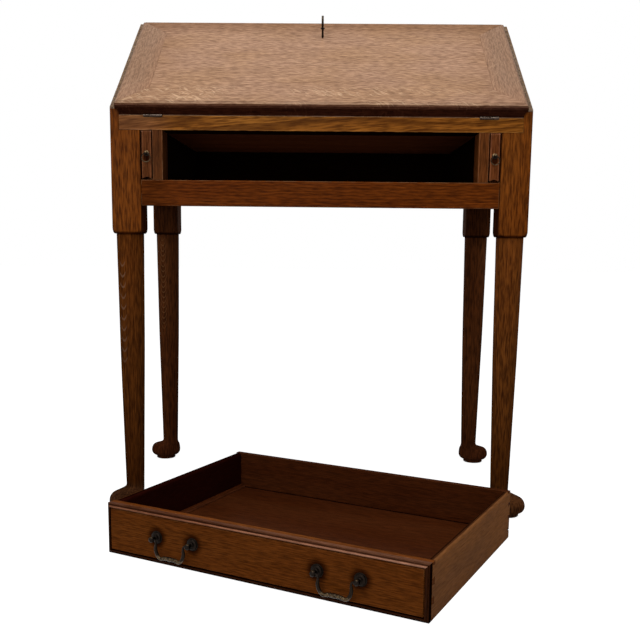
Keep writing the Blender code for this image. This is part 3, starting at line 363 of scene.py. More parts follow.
class Effects:
    """The shader groups that the finishes share, each built once."""

    def __init__(self) -> None:
        """Build every group."""
        self.figure = shader_group(
            "oak_figure", ("Vector", "Seed", "Pith", "Light", "Dark", "Tint", "Ring Width", "Ring Depth",
                           "Streak", "Drift", "Pore Depth", "Dash Scale", "Patch Scale"),
            ("Color", "Height", "Streak"), self.wire_figure)
        self.fleck = shader_group("ray_fleck", ("Vector", "Seed", "Slant", "Amount"), ("Mask",),
                                  self.wire_fleck)
        self.arcs = shader_group("ray_arcs", ("Vector", "Seed", "Amount"), ("Mask",), self.wire_arcs)
        self.flame = shader_group("flame_figure", ("Vector", "Span", "Pitch", "Width", "Amount"), ("Mask",),
                                  self.wire_flame)
        self.shade = shader_group("shaded", ("Color", "Mask", "Shade"), ("Color",), self.wire_shade)
        self.arris = shader_group("worn_arris", ("Color", "Vector", "Arris", "Worn"), ("Color",),
                                  self.wire_arris)
        self.foot = shader_group("low_grime", ("Vector", "Height"), ("Mask",), self.wire_foot)
        self.spot = shader_group("dirt_spot", ("Vector", "Place", "Radius"), ("Mask",), self.wire_spot)
        self.patina = shader_group("dark_patina", ("Vector", "Wear", "Metal", "Patina"),
                                   ("Color", "Roughness", "Height"), self.wire_patina)

    @staticmethod
    def wire_figure(graph: Graph, given: Sockets) -> Sockets:
        """Wire oak's rings, streaks and pores, with the grain along local x.

        Args:
            graph: Where nodes are added.
            given: The group's inputs.

        Returns:
            The group's outputs.
        """
        spot = graph.vector("ADD", given["Vector"], given["Seed"])
        drift = graph.less(graph.noise(spot, (2.2, 11.0, 11.0)), 0.5)
        apart = graph.stretch(graph.vector("SUBTRACT", given["Vector"], given["Pith"]), (0, 1, 1))
        radius = graph.vector("LENGTH", apart)
        wavy = graph.times_plus(drift, given["Drift"], radius)
        ring = graph.math("FRACT", graph.math("DIVIDE", wavy, given["Ring Width"]))
        porous = graph.times(graph.step(ring, 0.0, 0.12), graph.fade(ring, 0.2, 0.62))
        bold = graph.step(graph.noise(spot, (9.0, 240.0, 240.0), 4.0, 0.62), 0.30, 0.68)
        dash = graph.step(graph.noise(spot, given["Dash Scale"], 2.0, 0.55), 0.28, 0.70)
        mixed = graph.times_plus(dash, 0.90, graph.times(bold, 0.30))
        fine = graph.noise(spot, (34.0, 1300.0, 1300.0), 1.0)
        pores = graph.times(graph.step(fine, 0.54, 0.68), graph.times_plus(porous, 0.65, 0.35))
        broad = graph.step(graph.noise(spot, given["Patch Scale"]), 0.34, 0.66)
        share = graph.times_plus(graph.less(mixed, 0.6), given["Streak"], 0.5)
        colour = graph.blend(share, given["Dark"], given["Light"])
        colour = graph.blend(graph.times(porous, given["Ring Depth"]), colour, given["Dark"])
        colour = graph.stain(broad, colour, given["Tint"])
        colour = graph.stain(graph.times(pores, given["Pore Depth"]), colour, (0.36, 0.30, 0.27, 1.0))
        sunk = graph.times_plus(porous, 0.25, pores)
        height = graph.times_plus(mixed, 0.3, graph.times(sunk, -1.0))
        return {"Color": colour, "Height": height, "Streak": bold}

    @staticmethod
    def wire_fleck(graph: Graph, given: Sockets) -> Sockets:
        """Wire the pale strokes that rays make on a quarter-sawn face.

        Args:
            graph: Where nodes are added.
            given: The group's inputs.

        Returns:
            The group's outputs.
        """
        spot = graph.vector("ADD", given["Vector"], given["Seed"])
        slanted = graph.turn(spot, given["Slant"])
        strokes = graph.noise(slanted, (46.0, 380.0, 120.0), 1.5, 0.45, 0.9)
        patch = graph.noise(spot, (9.0, 24.0, 9.0), 1.0)
        mask = graph.times(graph.step(strokes, 0.56, 0.66), graph.step(patch, 0.38, 0.58))
        return {"Mask": graph.times(mask, given["Amount"])}

    @staticmethod
    def wire_arcs(graph: Graph, given: Sockets) -> Sockets:
        """Wire the chains of pale arcs that rays make where a face runs out of the quarter.

        Args:
            graph: Where nodes are added.
            given: The group's inputs.

        Returns:
            The group's outputs.
        """
        spot = graph.vector("ADD", given["Vector"], given["Seed"])
        cells = graph.stretch(spot, (21.0, 25.0, 0.0))
        cell = graph.add("ShaderNodeTexVoronoi", {"Vector": cells, "Scale": 1.0, "Randomness": 0.7},
                         voronoi_dimensions="2D")
        over = graph.parts(graph.vector("SUBTRACT", cells, cell.outputs["Position"]))[1]
        ring = graph.math("ABSOLUTE", graph.less(cell.outputs["Distance"], 0.40))
        line = graph.times(graph.fade(ring, 0.01, 0.07), graph.step(over, -0.05, 0.16))
        broken = graph.step(graph.noise(spot, (90.0, 60.0, 90.0), 2.0), 0.42, 0.56)
        return {"Mask": graph.times(graph.times(line, broken), given["Amount"])}

    @staticmethod
    def wire_flame(graph: Graph, given: Sockets) -> Sockets:
        """Wire the nested pale bows where the rings run out of a turned face.

        Args:
            graph: Where nodes are added.
            given: The group's inputs.

        Returns:
            The group's outputs.
        """
        along, across, _ = graph.parts(given["Vector"])
        bow = graph.times(graph.times(across, across), 250.0)
        wobble = graph.noise(given["Vector"], (60.0, 200.0, 200.0))
        level = graph.times_plus(wobble, 0.005, graph.less(along, bow))
        phase = graph.math("FRACT", graph.math("DIVIDE", level, given["Pitch"]))
        line = graph.fade(graph.math("ABSOLUTE", graph.less(phase, 0.5)), 0.03, 0.16)
        mask = graph.times(line, given["Amount"])
        for part, reach in ((across, given["Width"]), (along, given["Span"])):
            start = graph.times(reach, 0.7)
            mask = graph.times(mask, graph.fade(graph.math("ABSOLUTE", part), start, reach))
        return {"Mask": mask}

    @staticmethod
    def wire_shade(graph: Graph, given: Sockets) -> Sockets:
        """Wire a colour multiplied by a shade where a mask says so."""
        return {"Color": graph.stain(given["Mask"], given["Color"], given["Shade"])}

    @staticmethod
    def wire_arris(graph: Graph, given: Sockets) -> Sockets:
        """Wire the paler, rubbed tone of a board's eased edges."""
        rubbed = graph.step(graph.noise(given["Vector"], (60.0, 60.0, 60.0), 3.0), 0.36, 0.62)
        return {"Color": graph.blend(graph.times(rubbed, given["Arris"]), given["Color"], given["Worn"])}

    @staticmethod
    def wire_foot(graph: Graph, given: Sockets) -> Sockets:
        """Wire a darkening towards the floor, a little cloudy.

        Args:
            graph: Where nodes are added.
            given: The group's inputs.

        Returns:
            The group's outputs.
        """
        height = graph.parts(given["Vector"])[2]
        low = graph.math("MAXIMUM", graph.less(1.0, graph.math("DIVIDE", height, given["Height"])), 0.0)
        cloud = graph.step(graph.noise(given["Vector"], (23.0, 23.0, 9.0), 3.0), 0.1, 0.75, (1.0, 0.72))
        return {"Mask": graph.times(low, cloud)}

    @staticmethod
    def wire_spot(graph: Graph, given: Sockets) -> Sockets:
        """Wire the painted contact shadow and grime round a fitting on a board's face.

        Args:
            graph: Where nodes are added.
            given: The group's inputs.

        Returns:
            The group's outputs.
        """
        apart = graph.stretch(graph.vector("SUBTRACT", given["Vector"], given["Place"]), (1, 1, 0))
        away = graph.math("DIVIDE", graph.vector("LENGTH", apart), given["Radius"])
        return {"Mask": graph.fade(away, 0.45, 1.0)}

    @staticmethod
    def wire_patina(graph: Graph, given: Sockets) -> Sockets:
        """Wire a dark skin on metal, rubbed through where it is handled, and bright where a painted glint is
        marked.

        Args:
            graph: Where nodes are added.
            given: The group's inputs.

        Returns:
            The group's outputs.
        """
        cloud = graph.noise(given["Vector"], (420.0, 420.0, 420.0), 3.0, 0.6)
        rubbed = graph.times(graph.step(cloud, 0.34, 0.60), given["Wear"])
        spots = graph.step(graph.noise(given["Vector"], (900.0, 900.0, 900.0), 2.0), 0.5, 0.7)
        dull = graph.stain(graph.times(spots, 0.5), given["Patina"], (1.8, 1.7, 1.5, 1.0))
        rough = graph.times_plus(rubbed, -0.12, graph.times_plus(cloud, 0.22, 0.30))
        return {"Color": graph.blend(rubbed, dull, given["Metal"]), "Roughness": rough, "Height": cloud}


EFFECTS = Effects()


@dataclass(frozen=True)
class Lie:
    """How a piece's own coordinates lie: rotation, middle and half sizes along, across and through it."""

    turn: Matrix
    middle: Vector
    half: Vector

    @classmethod
    def of(cls, mesh: Mesh, turn: Matrix) -> "Lie":
        """Measure a mesh along its board's axes."""
        low, high = corners([turn @ vertex.co for vertex in mesh.vertices])
        return cls(turn, (low + high) / 2, (high - low) / 2)

    def local(self, place: Point) -> Point:
        """Return a place of the model's frame in the piece's own coordinates."""
        return tuple(self.turn @ Vector(place) - self.middle)


@dataclass(frozen=True)
class Side:
    """A strip along one side of a board, with a shade that multiplies its colour: painted shade, shadow,
    highlight and sheen in most uses, the board's own tone in a few.

    Depth is where the strip starts, half way if none is given. Front, if given, keeps the strip to that much
    of the board's thickness behind its show face, and width ends it before the board's edge.
    """

    axis: Way
    sign: int
    shade: Colour
    depth: float | None = None
    fade: float = 0.0003
    front: float | None = None
    width: float | None = None

    def mask(self, graph: Graph, board: Socket, half: Vector) -> Socket:
        """Return the strip's mask.

        Args:
            graph: Where nodes are added.
            board: Coordinates of the board.
            half: Half sizes of the board.

        Returns:
            The mask's socket.
        """
        parts = graph.parts(board)
        level = 0.0 if self.depth is None else half[self.axis] - self.depth
        side = graph.times(parts[self.axis], self.sign)
        strip = graph.step(side, level - self.fade, level + self.fade)
        if self.width is not None:
            end = level + self.width
            strip = graph.times(strip, graph.fade(side, end - self.fade, end + self.fade))
        if self.front is None:
            return strip
        face = half.z - self.front
        return graph.times(strip, graph.step(parts[Way.THROUGH], face - self.fade, face + self.fade))


@dataclass(frozen=True)
class Spot:
    """Painted contact shadow and grime round a fitting: its place in the model's frame and its reach."""

    place: Point
    radius: float
    shade: Colour = (0.26, 0.22, 0.22, 1.0)


@dataclass(frozen=True)
class Flame:
    """A run of nested bows in the figure: its middle, half its length and width, pitch and strength."""

    place: Point
    span: float
    width: float
    pitch: float
    amount: float


@dataclass(frozen=True)
class Cut:
    """A face cut across a board: the side of a plane that it lies on, and its shade."""

    normal: Point
    level: float
    shade: Colour
    fade: float = 0.0006

    @classmethod
    def slope(cls, node: str, shade: Colour, depth: float = 0.0012) -> "Cut":
        """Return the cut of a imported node's top edge that lies in the lid's slope.

        Args:
            node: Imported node.
            shade: Shade of the cut.
            depth: How far below the edge it starts.

        Returns:
            The cut.
        """
        normal = FALL_SEAT.turn @ Vector((0, 0, 1))
        top = corners(FALL_SEAT.spots(node))[1].z
        return cls(tuple(normal), normal.dot(Vector(FALL_SEAT.origin)) + top - depth, shade)


def blank_material(name: str) -> tuple[Material, Graph, Node]:
    """Return a new material, its graph and its Principled BSDF.

    Args:
        name: Name of the material.

    Returns:
        The material, its graph and its shader.
    """
    material = bpy.data.materials.new(name)
    material.use_nodes = True
    return material, Graph(material.node_tree), material.node_tree.nodes["Principled BSDF"]


@dataclass(frozen=True)
class Oak:
    """A finish of oak: its colours, figure and polish, with painted shade and highlights laid over them."""

    slot: str
    light: Colour
    dark: Colour
    worn: Colour
    tint: Colour = (0.86, 0.78, 0.70, 1.0)
    ring_width: float = 0.0030
    ring_depth: float = 0.25
    streak: float = 1.0
    drift: float = 0.012
    pore_depth: float = 0.6
    dash: Point = (44.0, 360.0, 360.0)
    patch: Point = (2.6, 17.0, 17.0)
    pith: Point = (0.0, -0.30, 0.02)
    fleck: Colour = tone(150, 104, 66)
    fleck_slant: float = 0.7
    fleck_amounts: Pair = (0.0, 0.0)
    fleck_band: Pair = (0.0, 0.01)
    arcs: float = 0.0
    arc_end: float = -0.15
    arc_fade: float = 0.06
    # Height below which the colour darkens towards the floor, and the shade it darkens by
    foot: float = 0.0
    foot_shade: Colour = (0.10, 0.07, 0.07, 1.0)
    # Painted shade and painted highlight lines down the moulded edge, at these drops below the show face
    edge_shades: tuple[Colour, ...] = ()
    edge_drops: tuple[float, ...] = (0.0024, 0.0034, 0.0046, 0.0090)
    cut: Cut | None = None
    sides: tuple[Side, ...] = ()
    spots: tuple[Spot, ...] = ()
    flame: Flame | None = None
    roughness: Pair = (0.42, 0.56)
    gloss: float = 0.03
    gloss_shares: Pair = (0.8, 0.4)
    gloss_roughness: float = 0.25
    bump: float = 0.14
    bump_depth: float = 0.0006
    edge_fade: float = 0.0006
    seed_steps: Point = (0.37, 0.91, 0.53)

    def blended(self, hand: Hand) -> "Oak":
        """Return the oak of a clamp whose inner edge runs into the lid's panel."""
        inner = Side(Way.ACROSS, hand.value, (1.12, 1.08, 1.05, 1.0), depth=0.010, fade=0.012)
        return replace(self, sides=(*self.sides, inner))

    def material(self, name: str, lie: Lie, seed: int, tilt: float = 0.0) -> Material:
        """Build the finish for one piece.

        Args:
            name: Name of the piece.
            lie: How the board's coordinates lie.
            seed: Number that makes the board's figure its own.
            tilt: Slope of the grain on the show face, in degrees.

        Returns:
            The material.
        """
        material, graph, shader = blank_material(f"{name}_oak")
        place = graph.add("ShaderNodeTexCoord").outputs["Object"]
        board = graph.out("ShaderNodeMapping", {"Vector": place, "Location": tuple(-lie.middle),
                                                "Rotation": tuple(lie.turn.to_euler("XYZ"))})
        offset = tuple(step * count for step, count in zip(self.seed_steps, (seed, seed % 7, seed % 11)))
        figure = graph.group(EFFECTS.figure, {
            "Vector": graph.turn(board, math.radians(tilt)), "Seed": offset, "Pith": self.pith,
            "Light": self.light, "Dark": self.dark, "Tint": self.tint, "Ring Width": self.ring_width,
            "Ring Depth": self.ring_depth, "Streak": self.streak, "Drift": self.drift,
            "Pore Depth": self.pore_depth, "Dash Scale": self.dash, "Patch Scale": self.patch}).outputs
        colour = figure["Color"]
        if any(self.fleck_amounts):
            colour = self.flecked(graph, board, offset, lie, colour)
        if self.flame:
            from_middle = graph.vector("SUBTRACT", board, lie.local(self.flame.place))
            bows = graph.group(EFFECTS.flame, {
                "Vector": from_middle, "Span": self.flame.span, "Pitch": self.flame.pitch,
                "Width": self.flame.width, "Amount": self.flame.amount})
            colour = graph.blend(bows.outputs[0], colour, self.fleck)
        least, rise = (self.gloss * share for share in self.gloss_shares)
        gloss = graph.times_plus(figure["Streak"], rise, least)
        for mask, shade in self.shades(graph, place, board, lie):
            colour = graph.group(EFFECTS.shade, {"Color": colour, "Mask": mask, "Shade": shade}).outputs[0]
            if shade[0] < 1.0:
                gloss = graph.times(gloss, graph.less(1.0, mask))
        arris = graph.add("ShaderNodeAttribute", attribute_name="arris").outputs["Fac"]
        worn = graph.group(EFFECTS.arris, {"Color": colour, "Vector": board, "Arris": arris,
                                           "Worn": self.worn})
        smooth, rough = self.roughness
        graph.feed(shader, {
            "Base Color": worn.outputs[0],
            "Roughness": graph.step(figure["Streak"], 0.0, 1.0, (rough, smooth)),
            "Coat Weight": gloss, "Coat Roughness": self.gloss_roughness, "Specular IOR Level": 0.0,
            "Normal": graph.out("ShaderNodeBump", {"Height": figure["Height"], "Strength": self.bump,
                                                   "Distance": self.bump_depth})})
        return material

    def flecked(self, graph: Graph, board: Socket, offset: Point, lie: Lie, colour: Socket) -> Socket:
        """Return the colour with its ray flecks and arcs, stronger on one side of a band across the board.

        Args:
            graph: Where nodes are added.
            board: Coordinates of the board.
            offset: The board's own shift of every pattern.
            lie: How the coordinates lie.
            colour: Colour of the wood between the flecks.

        Returns:
            The flecked colour.
        """
        along, across, _ = graph.parts(board)
        low, high = (level - lie.half.y for level in self.fleck_band)
        amount = graph.step(across, low, high, self.fleck_amounts)
        fleck = graph.group(EFFECTS.fleck, {"Vector": board, "Seed": offset, "Slant": self.fleck_slant,
                                            "Amount": amount})
        colour = graph.blend(fleck.outputs[0], colour, self.fleck)
        if not self.arcs:
            return colour
        near = graph.step(along, self.arc_end - self.arc_fade, self.arc_end, (self.arcs, 0.0))
        share = graph.times(near, graph.fade(across, low, high))
        arcs = graph.group(EFFECTS.arcs, {"Vector": board, "Seed": offset, "Amount": share})
        return graph.blend(arcs.outputs[0], colour, self.fleck)

    def shades(self, graph: Graph, place: Socket, board: Socket, lie: Lie) -> list[tuple[Socket, Colour]]:
        """Return the masks and shades of the moulded edge, the cut slope and the sides, with painted shade
        and highlights among them, the painted shadow and grime round fittings, and the darkening towards the
        floor.

        Args:
            graph: Where nodes are added.
            place: Coordinates in the model's frame.
            board: Coordinates of the board.
            lie: How those lie.

        Returns:
            Pairs of mask and shade.
        """
        found = []
        for shade, drop in zip(self.edge_shades, self.edge_drops):
            depth = graph.parts(board)[Way.THROUGH]
            face = lie.half.z - drop
            below = graph.fade(depth, face - self.edge_fade, face)
            above = graph.step(depth, self.edge_fade - lie.half.z, 2 * self.edge_fade - lie.half.z)
            found.append((graph.times(below, above), shade))
        if self.cut:
            height = graph.vector("DOT_PRODUCT", place, self.cut.normal)
            found.append((graph.step(height, self.cut.level - self.cut.fade, self.cut.level), self.cut.shade))
        found += [(side.mask(graph, board, lie.half), side.shade) for side in self.sides]
        for spot in self.spots:
            shadow_and_grime = graph.group(EFFECTS.spot, {"Vector": board, "Place": lie.local(spot.place),
                                              "Radius": spot.radius})
            found.append((shadow_and_grime.outputs[0], spot.shade))
        if self.foot:
            foot = graph.group(EFFECTS.foot, {"Vector": place, "Height": self.foot})
            found.append((foot.outputs[0], self.foot_shade))
        return found


@dataclass(frozen=True)
class Metal:
    """A finish of old metal under a dark skin."""

    slot: str
    metal: Colour
    patina: Colour
    bump: float = 0.15
    bump_depth: float = 0.0002

    def material(self, name: str) -> Material:
        """Build the finish for one piece.

        Args:
            name: Name of the piece.

        Returns:
            The material.
        """
        material, graph, shader = blank_material(f"{name}_metal")
        look = graph.group(EFFECTS.patina, {
            "Vector": graph.add("ShaderNodeTexCoord").outputs["Object"],
            "Metal": self.metal, "Patina": self.patina,
            "Wear": graph.add("ShaderNodeAttribute", attribute_name="rubbed").outputs["Fac"]}).outputs
        graph.feed(shader, {
            "Base Color": look["Color"], "Roughness": look["Roughness"], "Metallic": 1.0,
            "Normal": graph.out("ShaderNodeBump", {"Height": look["Height"], "Strength": self.bump,
                                                   "Distance": self.bump_depth})})
        return material


# Painted shade, near black: under the top rail, in the gaps round the lopers and on the back rail's inner
# face
DARK_SHADE = (0.03, 0.02, 0.02, 1.0)
# Painted shade on faces inside the case and inside the drawer
DIM_SHADE = (0.10, 0.08, 0.08, 1.0)
# Painted shadow in the bead's quirks and along the foot of the drawer's back
GAP_SHADOW = (0.16, 0.12, 0.12, 1.0)
# Pale wear and painted highlight on edges, bevels and the slips' inner faces
PALE_WEAR_AND_HIGHLIGHT = (1.55, 1.75, 2.30, 1.0)
# Painted grey sheen on the faces cut to the lid's slope
SLOPE = (1.15, 2.9, 14.0, 1.0)


def rubbed_edge(sign: int, depth: float = 0.0016) -> Side:
    """Return the pale strip along one long edge of a board's show face: wear with a painted highlight."""
    return Side(Way.ACROSS, sign, PALE_WEAR_AND_HIGHLIGHT, depth, fade=0.0004, front=0.002)


FRAME_OAK = Oak("oak_frame", tone(152, 84, 28), tone(76, 37, 11), tone(150, 100, 54), streak=0.95)
LEG_OAK = replace(FRAME_OAK, foot=0.56, streak=0.88)
# Darker copy of the leg oak for the back legs: painted shade on legs that stand back under the case
BACK_LEG_OAK = replace(LEG_OAK, light=tone(122, 69, 34), dark=tone(64, 33, 15), worn=tone(110, 70, 36),
                       foot_shade=(0.34, 0.27, 0.24, 1.0), streak=0.9)
RAIL_OAK = replace(FRAME_OAK, light=tone(134, 66, 18), dark=tone(68, 29, 7), worn=tone(130, 88, 56),
                   ring_width=0.0054, ring_depth=0.35, streak=0.75, drift=0.02,
                   sides=(Side(Way.ALONG, -1, (0.72, 0.78, 1.2, 1.0), depth=0.045, fade=0.03),
                          rubbed_edge(1)))
STILE_OAK = replace(FRAME_OAK, light=tone(116, 68, 35), dark=tone(68, 38, 18), worn=tone(132, 96, 66),
                    streak=0.8, sides=tuple(rubbed_edge(sign) for sign in BOTH))
RIGHT_STILE_OAK = replace(STILE_OAK, light=tone(132, 74, 35), dark=tone(76, 41, 17))
GOLD_OAK = Oak("oak_top_rail", tone(190, 121, 47), tone(93, 51, 17), tone(176, 120, 60), ring_width=0.0055,
               ring_depth=0.6, streak=0.9, drift=0.03, pith=(0.0, 0.02, -0.09), dash=(36.0, 420.0, 420.0),
               sides=(Side(Way.ALONG, -1, (1.10, 1.25, 2.8, 1.0), depth=0.075, fade=0.03),
                      rubbed_edge(1, 0.0012), rubbed_edge(-1, 0.0014),
                      # Painted shade on the rail's underside, seen in the opening
                      Side(Way.ACROSS, -1, DARK_SHADE, depth=0.0005)))
LID_OAK = Oak("oak_fall", tone(200, 157, 126), tone(138, 103, 81), tone(200, 160, 125), streak=0.95,
              tint=(0.97, 0.95, 0.86, 1.0), dash=(70.0, 440.0, 440.0), patch=(7.0, 11.0, 11.0),
              ring_depth=0.12, fleck=tone(236, 198, 160), fleck_amounts=(0.5, 0.10),
              fleck_band=(0.040, 0.070), arcs=0.45, roughness=(0.40, 0.52), gloss=0.2, bump=0.03,
              # Down the moulded front edge: painted shade under the lip, a painted highlight line, then
              # deeper painted shade
              edge_shades=((0.22, 0.12, 0.09, 1.0), (2.2, 3.2, 4.2, 1.0), (0.42, 0.32, 0.30, 1.0),
                           (0.46, 0.36, 0.30, 1.0)),
              sides=(Side(Way.ACROSS, 1, (0.74, 0.71, 0.69, 1.0), depth=0.040, fade=0.03),
                     *(Side(Way.ALONG, sign, (0.90, 0.90, 0.92, 1.0), depth=0.07, fade=0.06)
                       for sign in BOTH)))
CLAMP_OAK = replace(LID_OAK, slot="oak_clamp", light=tone(172, 135, 108), dark=tone(128, 97, 76), streak=0.8,
                    tint=(0.97, 0.94, 0.90, 1.0), fleck=tone(190, 154, 122), fleck_amounts=(0.3, 0.3),
                    # Painted shade down the clamps' moulded side edges
                    arcs=0.0, edge_shades=((0.72, 0.70, 0.68, 1.0), (0.62, 0.60, 0.58, 1.0)),
                    edge_drops=(0.0026, 0.0046),
                    sides=(Side(Way.ALONG, -1, (1.16, 1.12, 1.10, 1.0), depth=0.06, fade=0.05),))
DRAWER_OAK = Oak("oak_drawer", tone(129, 70, 25), tone(76, 38, 10), tone(140, 90, 50), streak=0.75,
                 gloss=0.02, dash=(56.0, 480.0, 480.0))
LOPER_OAK = replace(DRAWER_OAK, light=tone(126, 72, 38), dark=tone(70, 36, 16), worn=tone(150, 104, 72),
                    # Pale lines: wear and painted highlight on the bevels; dark lines: painted shadow in the
                    # gaps beside and below the loper
                    sides=(*(Side(Way.ACROSS, sign, PALE_WEAR_AND_HIGHLIGHT, 0.0046, fade=0.0005, front=0.003) for sign in BOTH),
                           *(Side(Way.ACROSS, sign, DARK_SHADE, 0.0020, fade=0.0004, front=0.004) for sign in BOTH),
                           Side(Way.ALONG, 1, PALE_WEAR_AND_HIGHLIGHT, 0.0024, fade=0.0004, front=0.003),
                           Side(Way.ALONG, -1, DARK_SHADE, 0.0034, fade=0.0005, front=0.004)))
RIGHT_LOPER_OAK = replace(LOPER_OAK, light=tone(144, 84, 46), dark=tone(82, 42, 20))
BEAD_OAK = replace(DRAWER_OAK, light=tone(72, 37, 17), dark=tone(40, 19, 8), worn=tone(110, 70, 42),
                   # Painted shadow in the quirks beside the bead
                   gloss=0.03, sides=tuple(Side(Way.ACROSS, sign, GAP_SHADOW, depth=0.0010) for sign in BOTH))
TOP_BEAD_OAK = replace(BEAD_OAK, light=tone(116, 70, 45), dark=tone(76, 44, 27), gloss=0.06,
                       # Painted highlight on the bead's crest, brighter towards the right, painted shadow in
                       # the quirk below it and painted shade in the step above it
                       sides=(Side(Way.THROUGH, 1, (2.6, 3.2, 4.2, 1.0), depth=0.0006),
                              Side(Way.ALONG, 1, (1.9, 2.2, 2.5, 1.0), fade=0.16, front=0.0006),
                              Side(Way.ACROSS, -1, GAP_SHADOW, depth=0.0009),
                              Side(Way.ACROSS, 1, (0.4, 0.35, 0.35, 1.0), depth=0.0032, front=0.0042,
                                   width=0.0012)))
INSIDE_OAK = Oak("oak_inside", tone(96, 48, 22), tone(50, 23, 9), tone(104, 60, 34), roughness=(0.5, 0.62),
                 streak=0.5, gloss=0.02, dash=(50.0, 420.0, 420.0))
# Near-black oak for the runners, guides and stops inside the case: painted shade
SHADOWED_OAK = replace(INSIDE_OAK, light=tone(26, 14, 8), dark=tone(14, 7, 4), worn=tone(36, 20, 12), gloss=0.0)
SLIP_OAK = replace(INSIDE_OAK, worn=tone(132, 92, 72))
DRAWER_SIDE_OAK = replace(INSIDE_OAK, light=tone(147, 96, 58), dark=tone(107, 67, 38), worn=tone(120, 84, 54),
                          ring_depth=0.12, tint=(1.25, 1.20, 1.0, 1.0), patch=(6.0, 16.0, 16.0))
BACK_OAK = Oak("oak_back", tone(142, 104, 66), tone(100, 68, 40), tone(160, 122, 80), roughness=(0.55, 0.7))
# Dark worn tone and dark inner face of the back rail: painted shade inside the case
BACK_RAIL_OAK = replace(BACK_OAK, worn=tone(40, 26, 16), sides=(Side(Way.THROUGH, 1, DARK_SHADE),))
BRASS = Metal("brass", tone(128, 106, 76), tone(27, 22, 19))
STEEL = Metal("hinge_steel", tone(148, 132, 120), tone(46, 36, 30))


def keep_flats(mesh: Mesh) -> None:
    """Make the edges of every wide face sharp, so that flat faces stay flat to the light.

    Args:
        mesh: Mesh that is shaded smooth.
    """
    ends = [[mesh.vertices[end].co for end in edge.vertices] for edge in mesh.edges]
    lengths = [(start - stop).length for start, stop in ends]
    for face in mesh.polygons:
        edges = [mesh.loops[loop].edge_index for loop in face.loop_indices]
        if face.area > FLAT_WIDTH / 2 * sum(lengths[edge] for edge in edges):
            for edge in edges:
                mesh.edges[edge].use_edge_sharp = True


class Bench:
    """Keeps count of the pieces as they are finished and set to ride their bodies."""

    def __init__(self) -> None:
        """Start with no piece."""
        self.count = 0

    def hand_over(self, name: str, mesh: Mesh, body: str, finish: Oak | Metal, nodes: Sequence[str] = (),
                  turn: Matrix | None = None, tilt: float = 0.0) -> None:
        """Finish one piece and make it ride its body.

        Args:
            name: Name of the piece.
            mesh: Its mesh, in the model's frame.
            body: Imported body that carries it.
            finish: Its oak or metal.
            nodes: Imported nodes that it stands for.
            turn: Rotation to the board's axes, for oak.
            tilt: Slope of the grain in degrees, for oak.
        """
        self.count += 1
        if turn is None:
            material = finish.material(name)
        else:
            material = finish.material(name, Lie.of(mesh, turn), self.count, tilt)
        mesh.name = name
        mesh.materials.clear()
        mesh.materials.append(material)
        mesh.shade_smooth()
        mesh.set_sharp_from_angle(angle=SMOOTH_ANGLE)
        keep_flats(mesh)
        piece = placed(name, mesh)
        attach(piece, body)
        if nodes:
            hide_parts(*nodes)
        LOG.info("piece %d: %s rides %s, %d faces", self.count, name, body, len(mesh.polygons))


BENCH = Bench()


def finished(name: str, shape: bmesh.types.BMesh, seat: Seat | None = None) -> Mesh:
    """Turn a bmesh into a mesh with its faces pointing out.

    Args:
        name: Name of the mesh.
        shape: The bmesh, which is freed.
        seat: Where it was drawn, if not in the model's frame.

    Returns:
        The mesh, in the model's frame.
    """
    bmesh.ops.remove_doubles(shape, verts=shape.verts, dist=MERGE)
    bmesh.ops.recalc_face_normals(shape, faces=shape.faces)
    mesh = bpy.data.meshes.new(name)
    shape.to_mesh(mesh)
    shape.free()
    if seat:
        mesh.transform(seat.matrix)
    return mesh


def skin(name: str, rings: Sequence[Sequence[Sequence[float]]], seat: Seat | None = None) -> Mesh:
    """Skin a list of closed rings of points, with a cap at each end.

    Args:
        name: Name of the mesh.
        rings: Rings with equally many points.
        seat: Where they are drawn.

    Returns:
        The closed mesh.
    """
    shape = bmesh.new()
    rows = [[shape.verts.new(point) for point in ring] for ring in rings]
    for low, high in zip(rows, rows[1:]):
        for near in range(len(low)):
            far = (near + 1) % len(low)
            shape.faces.new((low[near], low[far], high[far], high[near]))
    shape.faces.new(list(reversed(rows[0])))
    shape.faces.new(rows[-1])
    return finished(name, shape, seat)


def turned(name: str, profile: Sequence[Pair], sides: int, axis: Sequence[float],
           start: Sequence[float], seat: Seat | None = None) -> Mesh:
    """Turn a profile round an axis.

    Args:
        name: Name of the mesh.
        profile: Pairs of distance along the axis and radius.
        sides: Number of facets.
        axis: Direction of the axis.
        start: Point where the distance is 0.
        seat: Where the axis is drawn.

    Returns:
        The closed mesh.
    """
    facing = Vector((0, 0, 1)).rotation_difference(Vector(axis)).to_matrix()
    angles = [2 * math.pi * side / sides for side in range(sides)]
    rings = [[facing @ Vector((radius * math.cos(angle), radius * math.sin(angle), along)) + Vector(start)
              for angle in angles] for along, radius in profile]
    return skin(name, rings, seat)


def ball(middle: float, radius: float, neck: float, steps: int) -> list[Pair]:
    """Return the profile of a ball on a neck, from where it leaves the neck to near its pole.

    Args:
        middle: Place of the ball's middle along the axis.
        radius: Radius of the ball.
        neck: Radius of the neck.
        steps: Steps round it.

    Returns:
        Pairs of distance and radius.
    """
    start = math.asin(neck / radius)
    angles = [start + (math.pi - POLE - start) * step / steps for step in range(steps + 1)]
    return [(middle - radius * math.cos(angle), radius * math.sin(angle)) for angle in angles]


def block(name: str, low: Sequence[float], high: Sequence[float], seat: Seat | None = None) -> Mesh:
    """Return a box between two corners.

    Args:
        name: Name of the mesh.
        low: Low corner.
        high: High corner.
        seat: Where it is drawn.

    Returns:
        The box.
    """
    foot, head = ([(low[0], low[1], z), (high[0], low[1], z), (high[0], high[1], z), (low[0], high[1], z)]
                  for z in (low[2], high[2]))
    return skin(name, [foot, head], seat)


